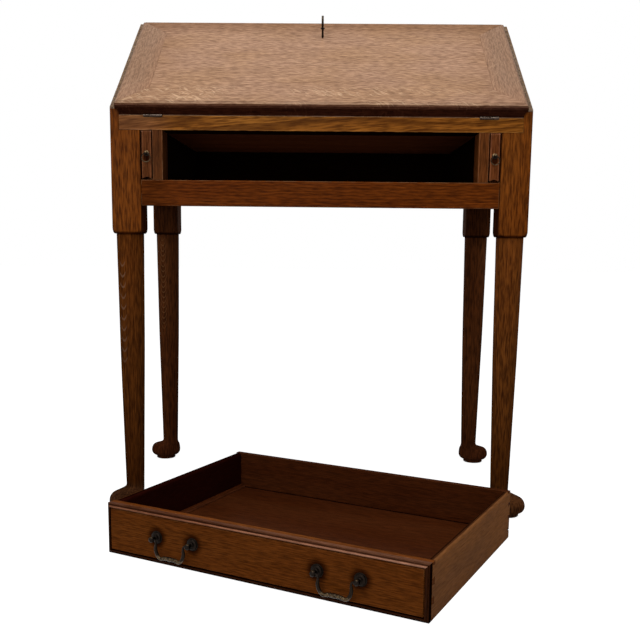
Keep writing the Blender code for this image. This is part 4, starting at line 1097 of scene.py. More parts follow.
def eyed_post(name: str, profile: Sequence[Pair], sides: int, start: Sequence[float],
              eye: Sequence[float], span: float, eye_r: float, seat: Seat | None = None) -> Mesh:
    """Turn a post that points forwards, and bore an eye through it from side to side.

    Args:
        name: Name of the mesh.
        profile: Pairs of distance along the post and radius.
        sides: Number of facets.
        start: Middle of its foot.
        eye: Middle of the eye.
        span: Half length of the bore.
        eye_r: Radius of the eye.
        seat: Where it is drawn.

    Returns:
        The bored post.
    """
    bore = turned("eye", [(-span, eye_r), (span, eye_r)], EYE_SIDES, (1, 0, 0), eye, seat)
    return carved(turned(name, profile, sides, (0, -1, 0), start, seat), [bore])


def placed(name: str, data: bpy.types.ID) -> Object:
    """Return a new object of the scene that holds a mesh, a camera or a lamp.

    Args:
        name: Name of the object.
        data: What it holds.

    Returns:
        The object.
    """
    item = bpy.data.objects.new(name, data)
    bpy.context.scene.collection.objects.link(item)
    return item


def evaluated(target: Object, helpers: Iterable[Object] = ()) -> Mesh:
    """Return what an object's modifiers make, as a plain mesh, and remove it and its helpers.

    Args:
        target: Object with modifiers.
        helpers: Objects that those use.

    Returns:
        The plain mesh.
    """
    depsgraph = bpy.context.evaluated_depsgraph_get()
    result = bpy.data.meshes.new_from_object(target.evaluated_get(depsgraph))
    target.modifiers.clear()
    for item in (target, *helpers):
        bpy.data.objects.remove(item, do_unlink=True)
    return result


def carved(mesh: Mesh, tools: Iterable[Mesh]) -> Mesh:
    """Cut a mesh by others.

    Args:
        mesh: What is carved.
        tools: Closed meshes that are taken away from it, one after another.

    Returns:
        The carved mesh.
    """
    target = placed("carving", mesh)
    helpers = [placed("carver", tool) for tool in tools]
    for helper in helpers:
        cut = target.modifiers.new("cut", "BOOLEAN")
        cut.object = helper
        cut.operation = "DIFFERENCE"
        cut.solver = "EXACT"
    return evaluated(target, helpers)


def eased(mesh: Mesh, width: float, above: float | None = None) -> Mesh:
    """Copy a mesh with its sharp edges rounded over, and mark the rounded strips.

    Args:
        mesh: Loose or joined triangles of a closed solid.
        width: Width of the rounding, or 0 to leave the edges sharp.
        above: Height below which edges are left sharp.

    Returns:
        A new mesh with a face attribute named arris.
    """
    shape = bmesh.new()
    shape.from_mesh(mesh)
    bmesh.ops.remove_doubles(shape, verts=shape.verts, dist=MERGE)
    bmesh.ops.dissolve_limit(shape, angle_limit=FLAT_ANGLE, verts=shape.verts, edges=shape.edges)
    mark = shape.faces.layers.float.new("arris")
    edges = [edge for edge in shape.edges if edge.is_manifold and edge.calc_face_angle(0) > SHARP_ANGLE]
    if above is not None:
        edges = [edge for edge in edges if min(vertex.co.z for vertex in edge.verts) > above]
    if width and edges:
        made = bmesh.ops.bevel(shape, geom=edges, offset=width, offset_type="OFFSET", segments=2, profile=0.6,
                               affect="EDGES", clamp_overlap=True)
        for face in made["faces"]:
            face[mark] = 1.0
    copy = bpy.data.meshes.new(mesh.name)
    shape.to_mesh(copy)
    shape.free()
    return copy


def node_copy(node: str, width: float = 0.0) -> Mesh:
    """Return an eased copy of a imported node's mesh."""
    return eased(frame["nodes"][node].data, width)


@dataclass(frozen=True)
class Board:
    """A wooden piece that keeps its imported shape, with its arrises eased."""

    node: str
    finish: Oak
    grain: Grain
    arris: float = 0.0006
    tilt: float = 0.0

    def dress(self, body: str, seat: Seat = CARCASS_SEAT) -> None:
        """Make the board's piece.

        Args:
            body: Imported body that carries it.
            seat: Frame that its grain is laid in.
        """
        mesh = node_copy(self.node, self.arris)
        BENCH.hand_over(f"{self.node}_board", mesh, body, self.finish, [self.node], seat.lay(self.grain),
                        self.tilt)


def geometry_tree(name: str, inputs: Sequence[tuple[str, str]],
                  wire: Callable[[Graph, Sockets], Socket]) -> NodeTree:
    """Build a Geometry Nodes tree that ends in Realize Instances and Set Material.

    Args:
        name: Name of the tree.
        inputs: Names and kinds of its inputs, after Geometry and Material.
        wire: Adds the nodes, given the inputs' sockets by name, and returns the shape's socket.

    Returns:
        The tree.
    """
    tree = bpy.data.node_groups.new(name, "GeometryNodeTree")
    tree.interface.new_socket("Geometry", in_out="OUTPUT", socket_type="NodeSocketGeometry")
    for title, kind in (("Geometry", "Geometry"), ("Material", "Material"), *inputs):
        tree.interface.new_socket(title, in_out="INPUT", socket_type=f"NodeSocket{kind}")
    graph = Graph(tree)
    entry = graph.add("NodeGroupInput")
    leave = graph.add("NodeGroupOutput")
    shape = wire(graph, {socket.name: socket for socket in entry.outputs if socket.name})
    whole = graph.out("GeometryNodeRealizeInstances", {0: shape})
    dressed = graph.add("GeometryNodeSetMaterial", {"Geometry": whole, "Material": entry.outputs["Material"]})
    tree.links.new(dressed.outputs[0], leave.inputs[0])
    return tree


def grown(tree: NodeTree, start: Mesh, material: Material,
          sizes: dict[str, float | int]) -> Mesh:
    """Run a Geometry Nodes tree on a mesh and return the result as a plain mesh.

    Args:
        tree: The tree.
        start: Points or lines that it starts from.
        material: Finish that it sets.
        sizes: Values of its other inputs, by name.

    Returns:
        The plain mesh.
    """
    holder = placed(tree.name, start)
    modifier = holder.modifiers.new(tree.name, "NODES")
    modifier.node_group = tree
    values = {"Material": material, **sizes}
    for item in tree.interface.items_tree:
        if item.in_out == "INPUT" and item.name in values:
            modifier[item.identifier] = values[item.name]
    return evaluated(holder)


def wire_bar(graph: Graph, given: Sockets) -> Socket:
    """Wire a round bar along a line, as thick as the line's girth attribute says.

    Args:
        graph: Where nodes are added.
        given: The tree's inputs.

    Returns:
        The shape's socket.
    """
    girth = graph.out("GeometryNodeInputNamedAttribute", {"Name": "girth"}, data_type="FLOAT")
    route = graph.out("GeometryNodeMeshToCurve", {0: given["Geometry"]})
    section = graph.out("GeometryNodeCurvePrimitiveCircle", {"Resolution": given["Sides"], "Radius": 1.0})
    return graph.out("GeometryNodeCurveToMesh", {"Curve": route, "Profile Curve": section, "Scale": girth,
                                                 "Fill Caps": True})


def wire_heads(graph: Graph, given: Sockets) -> Socket:
    """Wire slotted screw heads on points, each square to its point's facing and turned at random.

    Args:
        graph: Where nodes are added.
        given: The tree's inputs.

    Returns:
        The shape's socket.
    """
    head = graph.out("GeometryNodeMeshCylinder", {"Vertices": EYE_SIDES, "Radius": given["Radius"],
                                                  "Depth": given["Height"]}, fill_type="NGON")
    across = graph.times(given["Radius"], 3.0)
    size = graph.out("ShaderNodeCombineXYZ", {"X": across, "Y": given["Slot"], "Z": given["Height"]})
    cutter = graph.out("GeometryNodeMeshCube", {"Size": size})
    lift = graph.out("ShaderNodeCombineXYZ", {"Z": graph.times(given["Height"], 0.6)})
    lifted = graph.out("GeometryNodeTransform", {"Geometry": cutter, "Translation": lift})
    slotted = graph.out("GeometryNodeMeshBoolean", {0: head, 1: lifted}, operation="DIFFERENCE",
                        solver="EXACT")
    facing = graph.out("GeometryNodeInputNamedAttribute", {"Name": "facing"}, data_type="FLOAT_VECTOR")
    square = graph.out("FunctionNodeAlignRotationToVector", {"Vector": facing}, axis="Z")
    spin = graph.add("FunctionNodeRandomValue", {"Max": math.pi, "Seed": given["Seed"]}, data_type="FLOAT")
    about = graph.out("ShaderNodeCombineXYZ", {"Z": spin.outputs[1]})
    turn = graph.out("FunctionNodeEulerToRotation", {0: about})
    rotation = graph.out("FunctionNodeRotateRotation", {0: square, 1: turn}, rotation_space="LOCAL")
    points = graph.out("GeometryNodeMeshToPoints", {0: given["Geometry"]})
    return graph.out("GeometryNodeInstanceOnPoints", {"Points": points, "Instance": slotted,
                                                      "Rotation": rotation})


BAR_TREE = geometry_tree("round_bar", (("Sides", "Int"),), wire_bar)
HEAD_TREE = geometry_tree("slotted_heads", (("Radius", "Float"), ("Height", "Float"), ("Slot", "Float"),
                                            ("Seed", "Int")), wire_heads)


def bar(name: str, path: Sequence[Vector], girths: Sequence[float], finish: Metal, seat: Seat,
        sides: int = 20, closed: bool = False) -> Mesh:
    """Grow a round bar along a path.

    Args:
        name: Name of the mesh.
        path: Points of its middle line.
        girths: Radius at each point.
        finish: Its metal.
        seat: Where the path is drawn.
        sides: Facets round the bar.
        closed: Whether the path runs back to its start.

    Returns:
        The bar's mesh, in the model's frame.
    """
    edges = [(near, near + 1) for near in range(len(path) - 1)]
    if closed:
        edges.append((len(path) - 1, 0))
    line = bpy.data.meshes.new(name)
    line.from_pydata([tuple(seat.matrix @ point) for point in path], edges, [])
    line.attributes.new("girth", "FLOAT", "POINT").data.foreach_set("value", list(girths))
    return grown(BAR_TREE, line, finish.material(f"{name}_line"), {"Sides": sides})


@dataclass(frozen=True)
class Screw:
    """A slotted head: its sizes, the seed of its turn, and how much of its height its middle is sunk by."""

    radius: float
    height: float
    slot: float
    seed: int
    sunk: float = 0.25

    def drive(self, name: str, spots: Sequence[tuple[Vector, Vector]], body: str, finish: Metal) -> None:
        """Set heads in a face as one piece.

        Args:
            name: Name of the piece.
            spots: Places on the face and the way it faces, in the model's frame.
            body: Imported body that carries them.
            finish: Their metal.
        """
        dots = bpy.data.meshes.new(name)
        dots.from_pydata([tuple(place - facing * self.height * self.sunk) for place, facing in spots], [], [])
        layer = dots.attributes.new("facing", "FLOAT_VECTOR", "POINT")
        layer.data.foreach_set("vector", [part for _, facing in spots for part in facing])
        mesh = grown(HEAD_TREE, dots, finish.material(f"{name}_dots"),
                     {"Radius": self.radius, "Height": self.height, "Slot": self.slot, "Seed": self.seed})
        BENCH.hand_over(name, mesh, body, finish)


def smooth_path(points: Sequence[Sequence[float]], steps: int) -> list[Vector]:
    """Return a curve through points, with a number of steps between each two.

    Args:
        points: Points that it runs through.
        steps: Steps for each span.

    Returns:
        Points of the curve.
    """
    spots = [Vector(point) for point in points]
    ends = [2 * spots[0] - spots[1], *spots, 2 * spots[-1] - spots[-2]]
    path = []
    for a, b, c, d in zip(ends, ends[1:], ends[2:], ends[3:]):
        for step in range(steps):
            t = step / steps
            path.append(0.5 * (2 * b + (c - a) * t + (2 * a - 5 * b + 4 * c - d) * t ** 2
                               + (3 * b - a - 3 * c + d) * t ** 3))
    path.append(spots[-1])
    return path


def mark_rubbed(mesh: Mesh, share: Callable[[Vector], float]) -> None:
    """Write each point's share of bright metal: wear where a fitting is handled, and painted glints on balls
    and hinge crests.
    """
    # The rubbed attribute carries both wear and painted glints
    layer = mesh.attributes.new("rubbed", "FLOAT", "POINT")
    layer.data.foreach_set("value", [share(vertex.co) for vertex in mesh.vertices])


@dataclass
class TurnedLegs:
    """Four legs: square block, turned foot of the block, tapered shaft and off-centre pad foot."""

    block_side: float = 0.053
    block_foot: float = 0.5142
    corner_r: float = 0.0022
    soft: float = 0.00035
    pummel_h: float = 0.0145
    pummel_step: float = 0.0013
    top_r: float = 0.0245
    swell: float = 0.0011
    ankle_r: float = 0.0166
    ankle_z: float = 0.047
    ankle_sweep: float = 0.007
    pad_r: float = 0.0325
    pad_z: float = 0.0185
    nose_in: float = 0.0097
    nose_rise: float = 0.0145
    nose_turn: float = 75.0
    lean: float = 22.0
    shelf: float = 0.62
    base_r: float = 0.0212
    base_h: float = 0.0075
    base_round: float = 0.0012
    tuck: float = 0.0025
    toe_out: float = 0.0135
    side_points: int = 14
    corner_points: int = 6
    base_steps: int = 3
    pad_steps: int = 12
    nose_steps: int = 14
    sweep_steps: int = 18
    shaft_steps: int = 24
    pummel_steps: int = 16
    arris_steps: int = 8
    side_arris_r: float = 0.0052
    arris: float = 0.0005
    # Painted shade in the crease under the block
    crease_rise: float = 0.0035
    crease_fade: float = 0.0014
    crease_w: float = 0.005
    crease_shade: Colour = (0.28, 0.24, 0.24, 1.0)
    # Painted shade on the front legs' inner sides
    inner_depth: float = 0.0012
    inner_shade: Colour = (0.35, 0.32, 0.32, 1.0)
    # Painted shade on the front of the back legs' heads, under the case
    under_z: float = 0.50
    under_fade: float = 0.02
    under_front: float = 0.002
    under_shade: Colour = (0.25, 0.20, 0.20, 1.0)
    # Painted grey sheen on the toes
    toe_fade: float = 0.01
    toe_shade: Colour = (1.35, 1.80, 3.60, 1.0)
    back_toe_shade: Colour = (1.25, 1.30, 1.70, 1.0)
    left_foot_shade: Colour = (0.05, 0.04, 0.05, 1.0)
    shaft_fade: float = 0.004
    shaft_shades: dict[Hand, Colour] = field(
        default_factory=lambda: {Hand.LEFT: (0.82, 0.90, 1.30, 1.0), Hand.RIGHT: (1.10, 1.22, 1.60, 1.0)})
    # Bows on the left legs, with their middles measured from the leg's axis
    flames: dict[str, Flame] = field(default_factory=lambda: {
        "front": Flame((-0.011, 0.0, 0.372), span=0.11, width=0.0065, pitch=0.0195, amount=0.8),
        "back": Flame((-0.0076, 0.0, 0.405), span=0.12, width=0.0085, pitch=0.0115, amount=0.5)})

    def toe_line(self) -> list[Pair]:
        """Return reach and height of the pad's outer line, round the toe and up its top to the ankle.

        Returns:
            Pairs of reach and height.
        """
        line = []
        for step in range(1, self.nose_steps + 1):
            turn = math.radians(self.nose_turn * step / self.nose_steps)
            line.append((self.toe_out + self.pad_r - self.nose_in * (1 - math.cos(turn)),
                         self.pad_z + self.nose_rise * math.sin(turn)))
        reach, height = line[-1]
        run = (reach - self.ankle_r) * self.shelf
        rise = run * math.tan(math.radians(self.lean))
        pulls = [Vector((reach, height)), Vector((reach - run, height + rise)),
                 Vector((self.ankle_r, self.ankle_z - self.ankle_sweep)),
                 Vector((self.ankle_r, self.ankle_z))]
        for step in range(1, self.sweep_steps + 1):
            far = step / self.sweep_steps
            near = 1 - far
            spot = (near ** 3 * pulls[0] + 3 * near ** 2 * far * pulls[1] + 3 * near * far ** 2 * pulls[2]
                    + far ** 3 * pulls[3])
            line.append((spot.x, spot.y))
        return line

    def girths(self) -> list[tuple[float, float, float]]:
        """Return height, radius and share of the toe's offset, from the floor to the square block.

        Returns:
            Rows of height, radius and share.
        """
        rows = []
        for turn in quarter(self.base_steps):
            rows.append((self.base_round * (1 - math.cos(turn)),
                         self.base_r - self.base_round * (1 - math.sin(turn)), 1.0))
        rows.append((self.base_h, self.base_r, 1.0))
        under = self.base_r + self.tuck
        for turn in quarter(self.pad_steps):
            rows.append((self.base_h + (self.pad_z - self.base_h) * (1 - math.cos(turn)) + HAIR,
                         under + (self.pad_r - under) * math.sin(turn), 1.0))
        heel = self.pad_r - self.toe_out
        for far, height in self.toe_line():
            near = heel + (self.ankle_r - heel) * ease((height - self.pad_z) / (self.ankle_z - self.pad_z))
            rows.append((height, (far + near) / 2, (far - near) / 2 / self.toe_out))
        for step in range(1, self.shaft_steps + 1):
            share = step / self.shaft_steps
            rows.append((self.ankle_z + (self.block_foot - self.ankle_z) * share,
                         self.ankle_r + (self.top_r - self.ankle_r) * share
                         + self.swell * math.sin(math.pi * share), 0.0))
        corner = self.block_side / math.sqrt(2)
        shoulder = self.top_r + self.pummel_step
        for turn in quarter(self.pummel_steps):
            rows.append((self.block_foot + self.pummel_h * (1 - math.cos(turn)) + HAIR,
                         shoulder + (corner - shoulder) * math.sin(turn), 0.0))
        return rows

    def section(self) -> list[Pair]:
        """Return angle and reach of the block's square section with rounded corners.

        Returns:
            Pairs of angle and reach.
        """
        half = self.block_side / 2
        straight = half - self.corner_r
        spots = []
        for side in range(4):
            turn = Matrix.Rotation(math.pi / 2 * side, 2)
            for step in range(self.side_points):
                spots.append(turn @ Vector((half, straight * (2 * step / (self.side_points - 1) - 1))))
            for angle in quarter(self.corner_points)[1:-1]:
                spots.append(turn @ Vector((straight + self.corner_r * math.cos(angle),
                                            straight + self.corner_r * math.sin(angle))))
        return [(math.atan2(spot.y, spot.x), spot.length) for spot in spots]

    def reach(self, radius: float, flat: float, offset: float) -> float:
        """Return the section's reach: the nearer of the turned radius and the flat, with a soft crease.

        Args:
            radius: Turned radius.
            flat: Reach of the flat.
            offset: Share of the toe's offset.

        Returns:
            The reach.
        """
        if offset:
            return radius
        nearer = min(radius, flat)
        return nearer - self.soft * math.log(math.exp((nearer - radius) / self.soft)
                                             + math.exp((nearer - flat) / self.soft))

    def build(self) -> None:
        """Build and dress the four legs."""
        half = self.block_side / 2
        rows = {"front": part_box("bottom_rail")[0].y + half,
                "back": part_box("side_panel_left")[1].y + SEAM + half}
        seat_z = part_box("stile_left")[1].z
        for row, depth in rows.items():
            for hand in Hand:
                node = f"{row}_leg_{hand.word}"
                width = max(abs(corner.x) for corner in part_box(f"side_panel_{hand.word}"))
                axis = Vector((hand.value * (width - half), depth, 0))
                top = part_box(node)[1].z
                toe = Vector((hand.value, -1 if row == "front" else 1, 0)) * self.toe_out
                rings = self.rings(axis, toe, top)
                mesh = carved(skin(node, rings), self.cutters(row, hand, axis, top, seat_z))
                BENCH.hand_over(f"{node}_turned", eased(mesh, self.arris, seat_z), "carcass",
                                self.finish(row, hand), [node], CARCASS_SEAT.lay(Grain.POST))

    def finish(self, row: str, hand: Hand) -> Oak:
        """Return a leg's oak, with painted shade in the crease under its block, a painted grey sheen on its
        toe, and painted shade on the inner side of a front leg and the head of a back leg.

        Args:
            row: Front or back.
            hand: Side of the leg.

        Returns:
            The finish.
        """
        crease = Side(Way.ALONG, -1, self.crease_shade, self.block_foot + self.crease_rise, self.crease_fade,
                      width=self.crease_w)
        if row == "back":
            toe = Side(Way.ALONG, -1, self.back_toe_shade, self.ankle_z, self.toe_fade)
            under = Side(Way.ALONG, 1, self.under_shade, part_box("back_leg_left")[1].z - self.under_z,
                         self.under_fade, self.under_front)
            finish = replace(BACK_LEG_OAK, sides=(crease, toe, under))
        else:
            toe = Side(Way.ALONG, -1, self.toe_shade, self.ankle_z, self.toe_fade)
            shaft = Side(Way.ALONG, -1, self.shaft_shades[hand], self.block_foot, self.shaft_fade)
            inner = Side(Way.ACROSS, hand.value, self.inner_shade, self.inner_depth)
            slope = Cut.slope(f"side_panel_{hand.word}", SLOPE)
            finish = replace(LEG_OAK, sides=(shaft, crease, toe, inner), cut=slope)
        if hand is Hand.RIGHT:
            return finish
        if row == "front":
            finish = replace(finish, fleck_amounts=(0.0, 0.5), fleck_band=(0.050, 0.058), fleck_slant=2.3,
                             foot_shade=self.left_foot_shade)
        flame = self.flames[row]
        axis = Vector((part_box("side_panel_left")[0].x + self.block_side / 2, 0, 0))
        return replace(finish, flame=replace(flame, place=tuple(axis + Vector(flame.place))))

    def rings(self, axis: Vector, toe: Vector, top: float) -> list[list[Vector]]:
        """Return a leg's rings from the floor to above its head.

        Args:
            axis: Middle of the leg on the floor.
            toe: Offset of the pad's middle.
            top: Height of the head.

        Returns:
            Rings of points.
        """
        section = self.section()
        rings = []
        for height, radius, share in [*self.girths(), (top + OVER, self.block_side, 0.0)]:
            reaches = [(angle, self.reach(radius, flat, share)) for angle, flat in section]
            rings.append([axis + toe * share + Vector((far * math.cos(angle), far * math.sin(angle), height))
                          for angle, far in reaches])
        return rings

    def cutters(self, row: str, hand: Hand, axis: Vector, top: float, seat_z: float) -> list[Mesh]:
        """Return the shapes that notch a leg's head for the rail and cut it to the slope.

        Args:
            row: Front or back.
            hand: Side of the leg.
            axis: Middle of the leg on the floor.
            top: Height of its head.
            seat_z: Height of the notch.

        Returns:
            Meshes to cut with.
        """
        half = self.block_side / 2 + OVER
        inner = min(abs(corner.x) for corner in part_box(f"side_panel_{hand.word}"))
        near, far = sorted((hand.value * (abs(axis.x) - half), hand.value * inner))
        tools = [block("notch", (near, axis.y - half, seat_z), (far, axis.y + half, top + FAR))]
        if row == "back":
            tools.append(block("head", (axis.x - FAR, axis.y - FAR, top),
                               (axis.x + FAR, axis.y + FAR, top + FAR)))
            return tools
        edge = corners(FALL_SEAT.spots(f"side_panel_{hand.word}"))[1].z
        tools.append(block("slope", (-FAR, -FAR, edge), (FAR, FAR, FAR), FALL_SEAT))
        centre = Vector((inner + self.side_arris_r, edge - self.side_arris_r))
        outline = [(inner - OVER, centre.y)]
        for angle in quarter(self.arris_steps):
            outline.append((centre.x - self.side_arris_r * math.cos(angle),
                            centre.y + self.side_arris_r * math.sin(angle)))
        outline += [(centre.x, edge + OVER), (inner - OVER, edge + OVER)]
        rings = [[(hand.value * x, u, h) for x, h in outline] for u in (-FAR, FAR)]
        tools.append(skin("arris", rings, FALL_SEAT))
        return tools


@dataclass
class Carcass:
    """Sides, top, back, rails, stiles and what the drawer and lopers run on."""

    nail: Screw = Screw(0.0017, 0.0008, 0.0017 / 6, seed=11, sunk=0.0)
    nail_pitch: float = 0.085
    nail_in: float = 0.009
    boards: tuple[Board, ...] = (
        # Painted shade on the side panels' inner faces
        *(Board(f"side_panel_{hand.word}", replace(FRAME_OAK, sides=(Side(Way.THROUGH, -hand.value, DIM_SHADE),),
                                                   cut=Cut.slope(f"side_panel_{hand.word}", SLOPE)),
                Grain.SIDE, arris=0.0008) for hand in Hand),
        Board("top_board", replace(FRAME_OAK, cut=Cut.slope("top_board", SLOPE)), Grain.BED, arris=0.0012),
        Board("back_panel", BACK_OAK, Grain.RAIL),
        Board("back_rail", BACK_RAIL_OAK, Grain.RAIL, arris=0.0008),
        Board("top_rail", GOLD_OAK, Grain.RAIL, arris=0.0005, tilt=-5.0),
        Board("bottom_rail", RAIL_OAK, Grain.RAIL, arris=0.0008),
        Board("stile_left", STILE_OAK, Grain.POST),
        Board("stile_right", RIGHT_STILE_OAK, Grain.POST),
        Board("desk_bed", INSIDE_OAK, Grain.BED),
        *(Board(f"drawer_runner_{hand.word}", SHADOWED_OAK, Grain.DEEP) for hand in Hand),
        *(Board(f"loper_guide_{hand.word}", SHADOWED_OAK, Grain.SIDE) for hand in Hand),
        Board("pigeonhole_shelf", INSIDE_OAK, Grain.BED, arris=0.0004),
        *(Board(f"pigeonhole_divider_{place}", INSIDE_OAK, Grain.UPRIGHT, arris=0.0004)
          for place in ("left", "middle", "right")),
    )

    def build(self) -> None:
        """Build and dress the boards, and nail the back."""
        for board in self.boards:
            board.dress("carcass")
        low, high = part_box("back_panel")
        span = high.x - low.x - 2 * self.nail_in
        count = round(span / self.nail_pitch)
        spots = [(Vector((low.x + self.nail_in + span * step / count, high.y, z)), Vector((0, 1, 0)))
                 for step in range(count + 1) for z in (low.z + self.nail_in, high.z - self.nail_in)]
        self.nail.drive("back_nails", spots, "carcass", STEEL)


@dataclass
class Fall:
    """The sloping lid: panel, mitred clamps, and the hinges with their screws."""

    screw: Screw = Screw(0.0023, 0.0006, 0.0006, seed=3)
    screw_out: float = 0.010
    screw_stagger: float = 0.003
    screw_share: float = 0.58
    leaf_edge: float = 0.001
    leaf_arris: float = 0.00015
    # Painted glint along the top of each hinge barrel
    crest: float = 0.00075
    crest_rubbed: float = 0.9
    leaf_rubbed: float = 0.15
    boards: tuple[Board, ...] = (
        Board("fall_panel", LID_OAK, Grain.BED, arris=0.0),
        *(Board(f"fall_clamp_{hand.word}", CLAMP_OAK.blended(hand), Grain.DEEP, arris=0.0) for hand in Hand),
    )

    def build(self) -> None:
        """Build and dress the lid and its hinges."""
        for board in self.boards:
            board.dress("fall", FALL_SEAT)
        bright = HINGE_LINE[2] + self.crest
        for hand in Hand:
            for part, body, seat, facing in (("bed_leaf", "carcass", Seat(HINGE_LINE), 1),
                                             ("fall_leaf", "fall", FALL_SEAT, -1)):
                node = f"hinge_{part}_{hand.word}"
                mesh = node_copy(node, self.leaf_arris)
                # Painted glint on the barrel's top, the rest of the leaf a little worn
                mark_rubbed(mesh, lambda spot: self.crest_rubbed if spot.z > bright else self.leaf_rubbed)
                BENCH.hand_over(f"{node}_steel", mesh, body, STEEL, [node])
                self.screws(node, body, seat, facing)
            pin = f"hinge_pin_{hand.word}"
            BENCH.hand_over(f"{pin}_steel", node_copy(pin), "carcass", STEEL, [pin])

    def screws(self, node: str, body: str, seat: Seat, facing: int) -> None:
        """Set three screws in a hinge's leaf.

        Args:
            node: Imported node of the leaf.
            body: Body that carries it.
            seat: Frame that the leaf lies flat in.
            facing: Sign of the leaf's bare face along the seat's z.
        """
        points = seat.spots(node)
        low, high = corners(points)
        flat = [spot.z for spot in points if spot.y > high.y - self.leaf_edge]
        level = max(flat) if facing > 0 else min(flat)
        middle, depth = (low.x + high.x) / 2, high.y * self.screw_share
        out = seat.turn @ Vector((0, 0, facing))
        places = ((-self.screw_out, 0.0), (0.0, self.screw_stagger), (self.screw_out, 0.0))
        spots = [(seat.matrix @ Vector((middle + x, depth + y, level)), out) for x, y in places]
        self.screw.drive(f"{node}_screws", spots, body, STEEL)


@dataclass
class Lock:
    """The lock in the lid, its bolt, its key and its screws."""

    screw: Screw = Screw(0.0020, 0.0006, 0.0005, seed=7)
    screw_in: float = 0.0055
    case_arris: float = 0.0002
    arris: float = 0.0003
    bow_h: float = 0.012
    bow_rubbed: float = 0.2
    shank_rubbed: float = 0.05

    def build(self) -> None:
        """Build and dress the lock."""
        for node, body, width in (("lock_case", "fall", self.case_arris),
                                  ("lock_bolt", "lock_bolt", self.arris), ("key", "key", self.arris)):
            mesh = node_copy(node, width)
            if node == "key":
                bow = max(vertex.co.z for vertex in mesh.vertices) - self.bow_h
                mark_rubbed(mesh, lambda spot: self.bow_rubbed if spot.z > bow else self.shank_rubbed)
            BENCH.hand_over(f"{node}_brass", mesh, body, BRASS, [node])
        low, high = corners(FALL_SEAT.spots("lock_case"))
        out = FALL_SEAT.turn @ Vector((0, 0, -1))
        spots = [(FALL_SEAT.matrix @ Vector((x, u, low.z)), out)
                 for x in (low.x + self.screw_in, high.x - self.screw_in)
                 for u in (low.y + self.screw_in, high.y - self.screw_in)]
        self.screw.drive("lock_screws", spots, "fall", BRASS)


@dataclass
class Lopers:
    """The two pull-out supports, their stops and their ring pulls."""

    arris: float = 0.0004
    plate_r: float = 0.0048
    plate_t: float = 0.0012
    # Edge of the plate, as shares of its thickness and radius
    plate_edge: tuple[Pair, ...] = ((0.0, 1.0), (0.55, 1.0), (0.9, 0.86), (1.0, 0.7))
    # Rise of the neck out of the plate, and its radius as a share of the neck's
    neck_root: tuple[Pair, ...] = ((0.0004, 1.25), (0.0010, 1.0))
    neck_r: float = 0.0019
    ball_r: float = 0.0032
    ball_steps: int = 14
    # Painted glint on the crown of the stud's ball
    ball_crown: float = 0.35
    ball_rubbed: float = 0.9
    eye_r: float = 0.00155
    ring_r: float = 0.0076
    ring_low: float = 0.4
    ring_low_rubbed: float = 0.35
    ring_rubbed: float = 0.1
    wire_r: float = 0.0009
    wire_sides: int = 16
    ring_points: int = 72
    # Reach of the painted contact shadow and grime round the ring pull
    dirt_r: float = 0.0085
    sides: int = 40

    def build(self) -> None:
        """Build and dress both lopers."""
        for hand in Hand:
            body = f"loper_{hand.word}"
            low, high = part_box(f"loper_ring_{hand.word}")
            oak = LOPER_OAK if hand is Hand.LEFT else RIGHT_LOPER_OAK
            finish = replace(oak, spots=(Spot(tuple((low + high) / 2), self.dirt_r),))
            Board(body, finish, Grain.POST, self.arris).dress(body)
            Board(f"loper_stop_{hand.word}", SHADOWED_OAK, Grain.SIDE).dress(body)
            self.pull(hand, body)

    def pull(self, hand: Hand, body: str) -> None:
        """Turn a stud and bend its ring.

        Args:
            hand: Side of the loper.
            body: Body of the loper.
        """
        eye = Vector(joint_vector(f"loper_{hand.word}_ring_swing", "pos_m"))
        stud = f"loper_stud_{hand.word}"
        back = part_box(stud)[1].y
        profile = [(self.plate_t * rise, self.plate_r * share) for rise, share in self.plate_edge]
        profile += [(self.plate_t + rise, self.neck_r * share) for rise, share in self.neck_root]
        profile += ball(back - eye.y, self.ball_r, self.neck_r, self.ball_steps)
        mesh = eyed_post(stud, profile, self.sides, (eye.x, back, eye.z), eye, self.ball_r + OVER, self.eye_r)
        crown = eye.z + self.ball_r * self.ball_crown
        mark_rubbed(mesh, lambda spot: self.ball_rubbed if spot.z > crown else 0.0)
        BENCH.hand_over(f"{stud}_brass", mesh, body, BRASS, [stud])
        ring = f"loper_ring_{hand.word}"
        low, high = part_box(ring)
        centre = (low + high) / 2
        angles = [2 * math.pi * step / self.ring_points for step in range(self.ring_points)]
        path = [centre + self.ring_r * Vector((math.cos(a), 0, math.sin(a))) for a in angles]
        mesh = bar(ring, path, [self.wire_r] * self.ring_points, BRASS, Seat((0, 0, 0)), self.wire_sides,
                   closed=True)
        touched = centre.z - self.ring_r * self.ring_low
        mark_rubbed(mesh, lambda spot: self.ring_low_rubbed if spot.z < touched else self.ring_rubbed)
        BENCH.hand_over(f"{ring}_brass", mesh, ring, BRASS, [ring])


